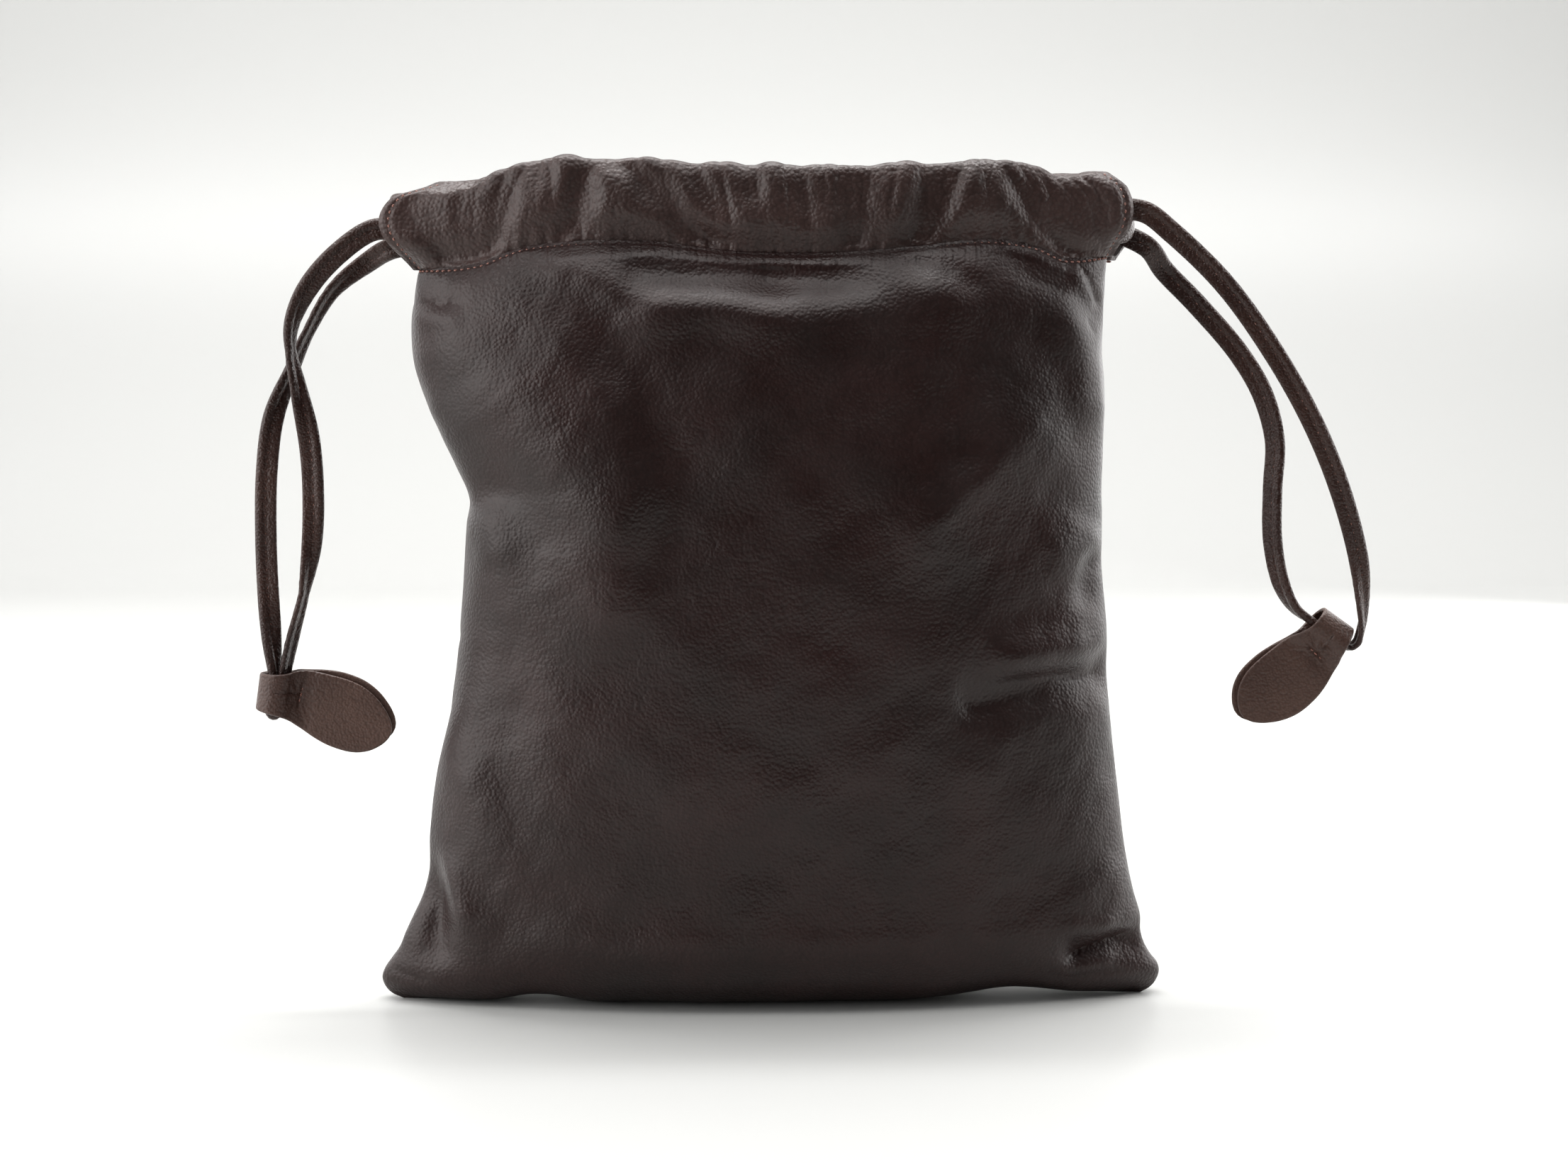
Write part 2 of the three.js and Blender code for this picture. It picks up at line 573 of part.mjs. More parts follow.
// The depth of the gathers in a casing's outer face.
function gatherDepth(side, across, rise) {
  const ends = casingEnds[side.name];
  const place = mix(-ends.left, ends.right, across);
  if (side.sign > 0) {
    const wave = Math.cos(across * backGathers * Math.PI) ** 2;
    return casingThickness * backGatherDeep * wave * smoothstep(0, leanRise, rise);
  }
  return frontGathers.reduce((deepest, gather) => {
    const line = mix(gather.foot, gather.top, rise);
    const away = (place - line) / gather.width;
    const fade = smoothstep(1 - gather.reach - 0.15, 1 - gather.reach + 0.25, rise);
    const hold = smoothstep(0, 0.12, rise);
    return Math.max(deepest, casingThickness * gather.deep * fade * hold * Math.exp(-away * away));
  }, 0);
}

function casingPoint(side, across, turn, inset) {
  const cosine = Math.cos(turn);
  const sine = Math.sin(turn);
  const up = Math.sign(cosine) * Math.abs(cosine) ** (2 / casingFullness);
  const out = Math.sign(sine) * Math.abs(sine) ** (2 / casingFullness);
  const edge = inset / casingHeight;
  const rise = 0.5 - (0.5 - edge) * up;
  const pinch = casingPinch / casingThickness;
  const half = casingThickness / 2 * mix(pinch, 1, smoothstep(0, pinchRise, rise)) - inset;
  const dip = gatherDepth(side, across, rise) * Math.max(0, out);
  const notch = gatherDepth(side, across, 1) * smoothstep(0.75, 1, rise) * rimNotch;
  const point = casingMiddle(side, across, rise);
  const outward = outwardAt(side, across);
  point.addScaledVector(outward, half * out - dip);
  point.z -= notch;
  return point;
}

function casingGeometry(side, steps) {
  const loop = (sideCount, inset) => (step, corner) => (
    casingPoint(side, step / steps, corner / sideCount * 2 * Math.PI, inset)
  );
  const outer = loop(facets.casingOuterSides, 0);
  const inner = loop(facets.casingInnerSides, leather);
  return pipeGeometry(steps, facets.casingOuterSides, facets.casingInnerSides, outer, inner, side.sign > 0);
}

// A strap's route: points along it and the direction of the strap's width at each.
class StrapRoute extends THREE.Curve {
  constructor(points, widths) {
    super();
    this.points = points;
    this.widths = widths;
  }

  getPoint(share) {
    return this.points[Math.round(share * (this.points.length - 1))].clone();
  }

  getPointAt(share) {
    return this.getPoint(share);
  }

  computeFrenetFrames() {
    const last = this.points.length - 1;
    const tangents = this.points.map((point, place) => {
      const before = this.points[Math.max(0, place - 1)];
      const after = this.points[Math.min(last, place + 1)];
      return after.clone().sub(before).normalize();
    });
    const normals = this.widths.map((width, place) => {
      const along = tangents[place];
      return width.clone().addScaledVector(along, -width.dot(along)).normalize();
    });
    const binormals = normals.map((normal, place) => tangents[place].clone().cross(normal));
    return { tangents, normals, binormals };
  }
}

// The strap's section: a flat strip with rounded edges, eight sided.
function strapSection() {
  const outX = strapWidth / 2;
  const outY = strapThickness / 2;
  const inX = outX - outY * 0.8;
  const inY = outY * 0.4;
  return new THREE.Shape([
    new THREE.Vector2(outX, -inY),
    new THREE.Vector2(outX, inY),
    new THREE.Vector2(inX, outY),
    new THREE.Vector2(-inX, outY),
    new THREE.Vector2(-outX, inY),
    new THREE.Vector2(-outX, -inY),
    new THREE.Vector2(-inX, -outY),
    new THREE.Vector2(inX, -outY),
  ]);
}

function strapGeometry(points, widths) {
  const extrudePath = new StrapRoute(points, widths);
  const steps = points.length - 1;
  return new THREE.ExtrudeGeometry(strapSection(), { steps, extrudePath, bevelEnabled: false });
}

// Smooth points along a route, with a step about every facets.strapStep millimetres.
function densePoints(corners) {
  const curve = new THREE.CatmullRomCurve3(corners, false, 'centripetal');
  const points = [];
  const places = [];
  for (let span = 0; span < corners.length - 1; span += 1) {
    const count = Math.max(1, Math.round(corners[span].distanceTo(corners[span + 1]) / facets.strapStep));
    for (let step = 0; step < count; step += 1) {
      const place = span + step / count;
      places.push(place);
      points.push(curve.getPoint(place / (corners.length - 1)));
    }
  }
  places.push(corners.length - 1);
  points.push(corners[corners.length - 1].clone());
  return { points, places };
}

// A point of a hidden run inside a casing.
function lanePoint(side, lane, across, lift) {
  const ends = casingEnds[side.name];
  const place = mix(-ends.left, ends.right, across);
  const rise = mix(lane.left, lane.right, across) + lift / casingRise(side, place);
  const point = casingMiddle(side, across, rise);
  const spread = smoothstep(0.02, 0.08, Math.min(across, 1 - across));
  const inward = mix(lane.atEnds, lane.inward, spread) * casingThickness / 2;
  return point.addScaledVector(outwardAt(side, across), -inward);
}

function lanePoints(side, lane, lift, fromRight) {
  const points = [];
  for (let step = 0; step <= runSteps; step += 1) {
    const share = mix(runStart, 1 - runStart, step / runSteps);
    points.push(lanePoint(side, lane, fromRight ? 1 - share : share, lift));
  }
  return points;
}

// The bend round the far end, from the front casing's channel to the back casing's.
function bendPoints(from, to, outward) {
  const radius = Math.abs(to.y - from.y) / 2;
  const points = [];
  for (const degrees of facets.bendDegrees) {
    const angle = degrees * Math.PI / 180;
    const share = (1 - Math.cos(angle)) / 2;
    points.push(new THREE.Vector3(
      mix(from.x, to.x, share) + outward * radius * Math.sin(angle),
      mix(from.y, to.y, share),
      mix(from.z, to.z, smoothstep(0.1, 1, share)),
    ));
  }
  return points;
}

// The whole hidden run of one string: its front exit first, its back exit last.
function runPoints(lane, exitsLeft, lift) {
  const front = lanePoints(sides.front, lane.front, lift, !exitsLeft);
  const back = lanePoints(sides.back, lane.back, 0, exitsLeft);
  const bend = bendPoints(front[front.length - 1], back[0], exitsLeft ? 1 : -1);
  return [...front, ...bend, ...back];
}

const upperLane = strapWidth + lanePitch;
const runs = {
  left: runPoints(lanes.leftString, true, 0),
  right: runPoints(lanes.rightString, false, upperLane),
};

function runGeometry(points) {
  const upright = points.map(() => new THREE.Vector3(0, 0, 1));
  return strapGeometry(points, upright);
}

// The strap's path through the left barrel: down one side of it, a tight turn, and up the other.
const barrelRadius = Math.hypot(strapThickness + seamGap / 2, strapWidth / 2) + barrelClearance;
const barrelHalfLength = leafHalfWidth * leafOutline[0].half;

function barrelPoint(place, along, wide) {
  const angle = THREE.MathUtils.degToRad(place.turn);
  const x = place.x + along * Math.cos(angle) + wide * Math.sin(angle);
  const z = place.z - along * Math.sin(angle) + wide * Math.cos(angle);
  return new THREE.Vector3(x, place.y, z);
}

function leftTurn() {
  const place = pullPlaces.left;
  const apart = strapThickness / 2 + seamGap / 2;
  const rows = [
    { point: barrelPoint(place, apart, barrelHalfLength), turn: 90 - pairTilt },
    { point: barrelPoint(place, apart, 0), turn: 90 - pairTilt },
    { point: barrelPoint(place, apart, -barrelHalfLength), turn: 90 - pairTilt / 2 },
  ];
  for (const degrees of facets.turnDegrees) {
    const angle = degrees * Math.PI / 180;
    const along = apart * Math.cos(angle);
    const wide = -barrelHalfLength - apart * Math.sin(angle);
    rows.push({ point: barrelPoint(place, along, wide), turn: 90 });
  }
  rows.push({ point: barrelPoint(place, -apart, -barrelHalfLength), turn: 90 + pairTilt / 2 });
  rows.push({ point: barrelPoint(place, -apart, 0), turn: 90 + pairTilt });
  rows.push({ point: barrelPoint(place, -apart, barrelHalfLength), turn: 90 + pairTilt });
  return rows;
}

function rightTurn() {
  const place = pullPlaces.right;
  return [1, 0, -1].map((end) => ({ point: barrelPoint(place, 0, end * barrelHalfLength), turn: 90 }));
}

// A free loop: out of the front casing, down through the pull's barrel, and up into the back casing.
function loopGeometry(run, down, turn, up, lastTurn) {
  const listed = (row) => ({ point: new THREE.Vector3(row.x, row.y, row.z), turn: row.turn });
  const leave = run[0].clone().sub(run[1]).normalize();
  const arrive = run[run.length - 1].clone().sub(run[run.length - 2]).normalize();
  const rows = [
    { point: run[0].clone().addScaledVector(leave, seamGap), turn: 0 },
    { point: run[0].clone().addScaledVector(leave, strapThickness), turn: 0 },
    ...down.map(listed),
    ...turn,
    ...up.map(listed),
    { point: run[run.length - 1].clone().addScaledVector(arrive, strapThickness), turn: lastTurn },
    { point: run[run.length - 1].clone().addScaledVector(arrive, seamGap), turn: lastTurn },
  ];
  const { points, places } = densePoints(rows.map((row) => row.point));
  const widths = points.map((point, index) => {
    const before = points[Math.max(0, index - 1)];
    const after = points[Math.min(points.length - 1, index + 1)];
    const along = after.clone().sub(before).normalize();
    const inView = new THREE.Vector3(0, 1, 0).cross(along).normalize();
    const outOfView = along.clone().cross(inView);
    const span = Math.min(rows.length - 2, Math.floor(places[index]));
    const degrees = mix(rows[span].turn, rows[span + 1].turn, places[index] - span);
    const angle = THREE.MathUtils.degToRad(degrees);
    return inView.multiplyScalar(Math.cos(angle)).addScaledVector(outOfView, -Math.sin(angle));
  });
  return strapGeometry(points, widths);
}

// The pull: a strip of leather whose middle wraps round the straps as a barrel and whose two
// leaf-shaped ends lie together. It is swept along the strip's middle, seen edge on.
function pullGeometry() {
  const layer = pullLeather / 2 + seamGap / 2;
  const radius = barrelRadius + pullLeather / 2;
  const stations = [];
  for (const share of facets.leafStations) {
    stations.push({ along: share * leafLength, out: -layer });
  }
  for (const degrees of facets.barrelDegrees) {
    const angle = degrees * Math.PI / 180;
    stations.push({ along: radius * Math.cos(angle), out: -radius * Math.sin(angle) });
  }
  for (const share of [...facets.leafStations].reverse()) {
    stations.push({ along: share * leafLength, out: layer });
  }
  const positions = [];
  const index = [];
  const last = stations.length - 1;
  stations.forEach((station, place) => {
    const before = stations[Math.max(0, place - 1)];
    const after = stations[Math.min(last, place + 1)];
    const run = new THREE.Vector2(after.along - before.along, after.out - before.out).normalize();
    const half = leafHalfWidth * follow(leafOutline, 'along', 'half', station.along / leafLength);
    const drift = -leafSkew * Math.max(0, station.along - radius);
    for (const [thick, wide] of [[-1, -1], [1, -1], [1, 1], [-1, 1]]) {
      const offset = thick * pullLeather / 2;
      positions.push(station.along - run.y * offset, station.out + run.x * offset, wide * half + drift);
    }
  });
  for (let place = 0; place < last; place += 1) {
    for (let corner = 0; corner < 4; corner += 1) {
      const a = place * 4 + corner;
      const b = place * 4 + (corner + 1) % 4;
      index.push(a, b, b + 4, a, b + 4, a + 4);
    }
  }
  index.push(0, 2, 1, 0, 3, 2);
  const end = last * 4;
  index.push(end, end + 1, end + 2, end, end + 2, end + 3);
  return indexedGeometry(positions, index);
}

function piece(name, geometry, color, roughness) {
  const mesh = new THREE.Mesh(geometry, new THREE.MeshStandardMaterial({ color, roughness, metalness: 0 }));
  mesh.name = name;
  return mesh;
}

function placedPull(name, geometry, place) {
  const pull = piece(name, geometry, colours.pull, 0.5);
  pull.position.set(place.x, place.y, place.z);
  pull.rotation.y = THREE.MathUtils.degToRad(place.turn);
  return pull;
}

const leftLoop = loopGeometry(runs.left, leftRouteDown, leftTurn(), leftRouteUp, 180);
const rightLoop = loopGeometry(runs.right, rightRouteDown, rightTurn(), rightRouteUp, 0);

const pouch = new THREE.Group();
pouch.add(
  piece(
    'front_panel',
    panelGeometry(sides.front, facets.panelColumns, facets.panelBaseRows, facets.panelWallRows),
    colours.body,
    0.45,
  ),
  piece(
    'back_panel',
    panelGeometry(sides.back, facets.backColumns, facets.backBaseRows, facets.backWallRows),
    colours.body,
    0.45,
  ),
  piece('front_casing', casingGeometry(sides.front, facets.frontCasingSteps), colours.casing, 0.42),
  piece('back_casing', casingGeometry(sides.back, facets.backCasingSteps), colours.casing, 0.42),
  piece('drawstring_left', leftLoop, colours.strap, 0.5),
  piece('drawstring_right', rightLoop, colours.strap, 0.5),
  piece('drawstring_left_run', runGeometry(runs.left), colours.strap, 0.5),
  piece('drawstring_right_run', runGeometry(runs.right), colours.strap, 0.5),
  placedPull('pull_left', pullGeometry(), pullPlaces.left),
  placedPull('pull_right', pullGeometry(), pullPlaces.right),
);

export default pouch;
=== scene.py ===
import logging
import math
from dataclasses import dataclass, field
from enum import Enum

import bpy
import numpy as np
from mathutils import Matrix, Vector


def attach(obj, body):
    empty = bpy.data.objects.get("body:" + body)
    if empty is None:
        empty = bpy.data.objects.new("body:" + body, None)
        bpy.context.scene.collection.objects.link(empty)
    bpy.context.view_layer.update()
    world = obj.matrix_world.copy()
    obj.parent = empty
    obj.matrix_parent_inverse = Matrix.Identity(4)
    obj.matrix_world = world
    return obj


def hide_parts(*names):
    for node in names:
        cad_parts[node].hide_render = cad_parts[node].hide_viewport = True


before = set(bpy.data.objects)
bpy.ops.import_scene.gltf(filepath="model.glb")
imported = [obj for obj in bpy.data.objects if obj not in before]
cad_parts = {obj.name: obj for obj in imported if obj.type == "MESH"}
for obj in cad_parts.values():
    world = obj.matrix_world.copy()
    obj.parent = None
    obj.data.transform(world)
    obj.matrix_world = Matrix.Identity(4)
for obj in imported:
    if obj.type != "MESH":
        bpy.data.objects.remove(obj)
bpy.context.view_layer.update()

# A soft leather drawstring pouch that stands on its base. Shapes are worked out in millimetres, +Z up,
# front towards -Y, and put into Blender in metres. The tables and sizes are the pouch's own pattern.

LOG = logging.getLogger("pouch")
MM = 0.001

Array = np.ndarray


class Side(Enum):
    """The two halves of the bag, one on each side of the plane of the side seams."""

    FRONT = "front"
    BACK = "back"

    @property
    def sign(self) -> float:
        """The direction of this half along Y."""
        return -1.0 if self is Side.FRONT else 1.0


class End(Enum):
    """The two ends of the mouth, where the strings come out."""

    LEFT = "left"
    RIGHT = "right"


# Sizes of the bag body in millimetres
HALF_WIDTH = 137.0
HEM_HEIGHT = 259.0
FRONT_DEPTH = 44.0
BACK_DEPTH = 45.0
FRONT_BASE_RADIUS = 30.0
BACK_BASE_RADIUS = 22.0
LEATHER = 1.6
SEAM_GAP = 0.3
BASE_FLAT = 0.2
SEAM_RISE = 1.5
SEAM_GRIP = 8.0
FOLD_FADE = 0.35
TUCK_UNDER = 0.7

# Sizes of the casings in millimetres, and shares of their height
CASING_HEIGHT = 31.0
CASING_THICKNESS = 13.5
CASING_PINCH = 6.4
MOUTH_DEPTH = 25.0
CASING_FULLNESS = 3.0
PINCH_RISE = 0.42
LEAN_RISE = 0.34
OVERHANG_SPAN = 0.14
RUN_START = 0.02
RUN_STEPS = 13

# Sizes of the drawstrings and pulls in millimetres
STRAP_WIDTH = 7.5
STRAP_THICKNESS = 3.0
LANE_PITCH = 1.1
PULL_LEATHER = 1.4
LEAF_LENGTH = 41.5
LEAF_HALF_WIDTH = 12.3
BARREL_CLEARANCE = 0.4
LEAF_SKEW = 0.19
PAIR_TILT = 15.0
BARREL_RADIUS = math.hypot(STRAP_THICKNESS + SEAM_GAP / 2, STRAP_WIDTH / 2) + BARREL_CLEARANCE
STITCH_PITCH = 2.4
STRAP_STITCH_PITCH = 3.1
TACK_AT = 8.2
TACK_SLANT = 0.12

# The strap's section in millimetres: where its parts lie across it, how wide and how thick they are
ROLL_MIDDLE, ROLL_HALF_WIDTH, ROLL_HALF_THICK = 1.95, 1.8, 1.55
STRIP_MIDDLE, STRIP_HALF_WIDTH, STRIP_HALF_THICK = -1.8, 1.95, 1.0
WEB_HALF_THICK = 0.62


class Table:
    """A short table with named columns, each read as a smooth curve over the first column."""

    def __init__(self, names: str, rows: list[tuple[float, ...]]) -> None:
        """Keep the table's columns.

        Args:
            names: The column names, split by spaces.
            rows: One tuple for each row.
        """
        values = np.array(rows, dtype=float)
        self.columns = dict(zip(names.split(), values.T))
        self.key = values[:, 0]

    def follow(self, column: str, at: Array) -> Array:
        """Read one column: a cubic through each pair of rows with slopes from their neighbours.

        Args:
            column: The column to read.
            at: Places along the first column. Past both ends the curve stays level.

        Returns:
            The column's values at those places.
        """
        key, values = self.key, self.columns[column]
        last = len(key) - 1
        at = np.clip(at, key[0], key[last])
        index = np.clip(np.searchsorted(key, at) - 1, 0, last - 1)
        low = np.maximum(index - 1, 0)
        high = np.minimum(index + 2, last)
        before = (values[index + 1] - values[low]) / (key[index + 1] - key[low])
        after = (values[high] - values[index]) / (key[high] - key[index])
        span = key[index + 1] - key[index]
        share = (at - key[index]) / span
        square, cube = share**2, share**3
        return (
            (2 * cube - 3 * square + 1) * values[index]
            + (cube - 2 * square + share) * span * before
            + (3 * square - 2 * cube) * values[index + 1]
            + (cube - square) * span * after
        )

    def rows(self) -> list[dict[str, float]]:
        """The rows as dictionaries."""
        count = len(self.key)
        return [{name: values[row] for name, values in self.columns.items()} for row in range(count)]


def smoothstep(low: float, high: float, value: Array) -> Array:
    """A ramp from 0 at low to 1 at high, level at both ends: 3 t squared minus 2 t cubed."""
    share = np.clip((value - low) / (high - low), 0, 1)
    return share * share * (3 - 2 * share)


def mix(first: Array, second: Array, share: Array) -> Array:
    """The straight blend from first to second."""
    return first + (second - first) * share


def bell(away: Array, width: float) -> Array:
    """A bell curve: e to the power of minus the squared distance over the width."""
    return np.exp(-((away / width) ** 2))


def fold_line(away: Array, width: float) -> Array:
    """A sharp valley with rounded shoulders: e to the power of minus 1.3 times the distance over the
    width, where the distance is smoothed over a sixth of the width."""
    return np.exp(-1.3 * (np.sqrt((away / width) ** 2 + 0.03) - 0.17))


def power(value: Array, exponent: float) -> Array:
    """A power that keeps the sign of its base, for the sections' superellipses."""
    return np.sign(value) * np.abs(value) ** exponent


def unit(vectors: Array) -> Array:
    """Vectors scaled to length one."""
    return vectors / np.maximum(np.linalg.norm(vectors, axis=-1, keepdims=True), 1e-9)


# Outline of the side seams. Heights are shares of HEM_HEIGHT, left and right of HALF_WIDTH.
EDGES = Table("height left right", [
    (0, 0.942, 0.955),
    (0.006, 0.968, 0.976),
    (0.015, 0.986, 0.992),
    (0.029, 0.996, 1.002),
    (0.042, 0.99, 0.998),
    (0.054, 0.976, 0.982),
    (0.07, 0.956, 0.967),
    (0.089, 0.942, 0.957),
    (0.112, 0.922, 0.953),
    (0.143, 0.895, 0.934),
    (0.178, 0.878, 0.918),
    (0.232, 0.872, 0.902),
    (0.309, 0.853, 0.884),
    (0.398, 0.814, 0.864),
    (0.502, 0.788, 0.855),
    (0.587, 0.777, 0.842),
    (0.656, 0.765, 0.841),
    (0.687, 0.753, 0.839),
    (0.734, 0.791, 0.842),
    (0.784, 0.834, 0.843),
    (0.83, 0.873, 0.842),
    (0.873, 0.897, 0.836),
    (0.919, 0.903, 0.841),
    (0.965, 0.893, 0.844),
    (1, 0.883, 0.848),
])

# How full the bag is. Front and back are shares of the depths, fullness is the section's exponent.
DEPTHS = Table("height front back fullness", [
    (0, 0.84, 0.84, 1.9),
    (0.12, 0.84, 0.84, 2),
    (0.23, 0.9, 0.9, 2.1),
    (0.39, 0.96, 0.97, 2.2),
    (0.58, 1, 1, 2.2),
    (0.75, 1, 1, 2.2),
    (0.86, 0.96, 0.95, 2.2),
    (0.93, 0.9, 0.88, 2.3),
    (0.97, 0.8, 0.78, 2.4),
    (1, 0.62, 0.62, 2.5),
])

# The wavy stitch line. Places are shares of HALF_WIDTH, front and back are shares of HEM_HEIGHT.
HEM_LINE = Table("place front back", [
    (-0.9, 0.979, 0.979),
    (-0.74, 0.983, 0.985),
    (-0.6, 1.007, 0.996),
    (-0.33, 1.014, 1.004),
    (-0.08, 1, 1),
    (0.15, 0.999, 1.003),
    (0.36, 1.007, 1.006),
    (0.52, 1.016, 1.002),
    (0.65, 1.008, 0.998),
    (0.73, 0.992, 0.995),
    (0.86, 0.999, 0.993),
])

# Places where the base is lifted off the floor. Shares of HALF_WIDTH.
BASE_LIFTS = Table("place width rise", [
    (-0.59, 0.1, 0.02),
    (0.61, 0.16, 0.029),
])

# Folds and bulges, each along a short line. Places and widths are shares of HALF_WIDTH, heights of
# HEM_HEIGHT, and out is a share of the depth, negative where the leather sinks in.
FOLD_COLUMNS = "from_place from_height to_place to_height width out"
FRONT_FOLDS = Table(FOLD_COLUMNS, [
    (-0.32, 0.98, 0, 0.963, 0.05, -0.06),
    (0, 0.963, 0.32, 0.98, 0.05, -0.06),
    (-0.3, 0.94, 0.36, 0.925, 0.06, 0.05),
    (-0.74, 0.86, -0.42, 0.7, 0.12, 0.09),
    (-0.42, 0.84, -0.26, 0.67, 0.12, -0.07),
    (-0.83, 0.79, -0.68, 0.62, 0.06, 0.07),
    (-0.8, 0.36, -0.71, 0.23, 0.07, 0.06),
    (-0.66, 0.46, -0.66, 0.31, 0.08, -0.05),
    (-0.86, 0.18, -0.85, 0.08, 0.05, -0.1),
    (-0.79, 0.18, -0.75, 0.12, 0.05, 0.06),
    (0.5, 0.415, 0.83, 0.446, 0.05, -0.1),
    (0.57, 0.478, 0.8, 0.49, 0.06, 0.05),
    (0.6, 1, 0.8, 0.93, 0.05, -0.06),
    (0.73, 0.91, 0.81, 0.8, 0.05, 0.05),
    (0.38, 0.62, 0.68, 0.75, 0.07, 0.05),
    (0.78, 0.068, 0.93, 0.075, 0.045, -0.14),
    (0.8, 0.15, 0.9, 0.16, 0.08, 0.05),
])
BACK_FOLDS = Table(FOLD_COLUMNS, [
    (-0.78, 0.77, -0.79, 0.42, 0.1, 0.13),
    (0.76, 0.62, 0.4, 0.5, 0.08, -0.07),
    (-0.6, 0.3, -0.2, 0.22, 0.09, -0.06),
    (0.1, 0.93, 0.6, 0.86, 0.07, -0.06),
    (0.84, 0.09, 0.72, 0.1, 0.05, -0.1),
])

# Ends of the casings: how far the stitch line reaches and how far the channel hangs past it.
CASING_ENDS = {
    Side.FRONT: {"left": 0.886, "right": 0.85, "left_overhang": 0.062, "right_overhang": 0.022},
    Side.BACK: {"left": 0.86, "right": 0.868, "left_overhang": 0.03, "right_overhang": 0.042},
}

# The top of the casings, as shares of CASING_HEIGHT.
RIM_LINE = Table("place front back", [
    (-0.92, 0.97, 0.95),
    (-0.82, 1.02, 1),
    (-0.7, 0.99, 1),
    (-0.5, 0.97, 0.98),
    (-0.3, 0.95, 0.96),
    (0, 1.01, 0.97),
    (0.3, 0.98, 0.96),
    (0.5, 0.93, 0.97),
    (0.7, 0.96, 0.98),
    (0.8, 0.95, 1),
    (0.9, 0.9, 0.97),
])

# Gathers from the top edge down. Top, foot and width are shares of HALF_WIDTH, reach is a share of
# the casing's height and deep is a share of its thickness.
GATHER_COLUMNS = "top foot width reach deep"
FRONT_GATHERS = Table(GATHER_COLUMNS, [
    (-0.873, -0.77, 0.03, 1, 0.15),
    (-0.82, -0.81, 0.026, 0.6, 0.2),
    (-0.755, -0.738, 0.03, 1, 0.26),
    (-0.65, -0.7, 0.028, 1, 0.22),
    (-0.57, -0.57, 0.028, 0.35, 0.15),
    (-0.435, -0.5, 0.03, 0.9, 0.2),
    (-0.385, -0.13, 0.034, 1, 0.26),
    (-0.27, -0.24, 0.028, 0.5, 0.15),
    (-0.2, -0.1, 0.03, 0.6, 0.22),
    (-0.066, -0.04, 0.026, 0.5, 0.15),
    (0.07, 0.1, 0.028, 0.7, 0.22),
    (0.16, 0.15, 0.026, 0.6, 0.14),
    (0.237, 0.21, 0.03, 0.9, 0.28),
    (0.38, 0.36, 0.03, 0.7, 0.26),
    (0.445, 0.33, 0.03, 0.9, 0.22),
    (0.55, 0.68, 0.03, 0.8, 0.22),
    (0.645, 0.74, 0.03, 1, 0.26),
    (0.7, 0.8, 0.026, 0.7, 0.2),
])

# Finer tucks between the gathers, in the same columns.
FRONT_TUCKS = Table(GATHER_COLUMNS, [
    (-0.831, -0.807, 0.014, 0.6, 0.1),
    (-0.8, -0.775, 0.014, 0.95, 0.08),
    (-0.771, -0.782, 0.014, 0.9, 0.1),
    (-0.715, -0.72, 0.013, 0.8, 0.07),
    (-0.6, -0.69, 0.016, 0.9, 0.08),
    (-0.54, -0.53, 0.016, 0.5, 0.06),
    (-0.46, -0.48, 0.014, 0.8, 0.07),
    (-0.33, -0.29, 0.014, 0.6, 0.07),
    (-0.183, -0.14, 0.016, 0.5, 0.11),
    (-0.13, -0.09, 0.013, 0.8, 0.06),
    (-0.044, -0.03, 0.016, 0.45, 0.09),
    (0.03, 0.05, 0.014, 0.6, 0.06),
    (0.12, 0.14, 0.014, 0.5, 0.06),
    (0.19, 0.185, 0.014, 0.8, 0.07),
    (0.3, 0.27, 0.016, 0.6, 0.08),
    (0.415, 0.404, 0.016, 0.6, 0.11),
    (0.471, 0.374, 0.016, 1, 0.09),
    (0.51, 0.53, 0.014, 0.5, 0.06),
    (0.6, 0.71, 0.014, 0.9, 0.09),
    (0.74, 0.818, 0.014, 0.9, 0.1),
    (0.774, 0.824, 0.012, 0.6, 0.09),
])

# Heights of the hidden runs above the stitch line at both ends, as shares of CASING_HEIGHT, and how
# far inwards they lie, as shares of the casing's half thickness.
LANE_COLUMNS = ("left", "right", "inward", "at_ends")
LANES = {
    (End.LEFT, Side.FRONT): dict(zip(LANE_COLUMNS, (0.44, 0.29, 0.24, 0.24))),
    (End.LEFT, Side.BACK): dict(zip(LANE_COLUMNS, (0.3, 0.59, -0.27, 0.2))),
    (End.RIGHT, Side.FRONT): dict(zip(LANE_COLUMNS, (0.44, 0.29, 0.16, 0.16))),
    (End.RIGHT, Side.BACK): dict(zip(LANE_COLUMNS, (0.59, 0.31, 0.26, 0.28))),
}

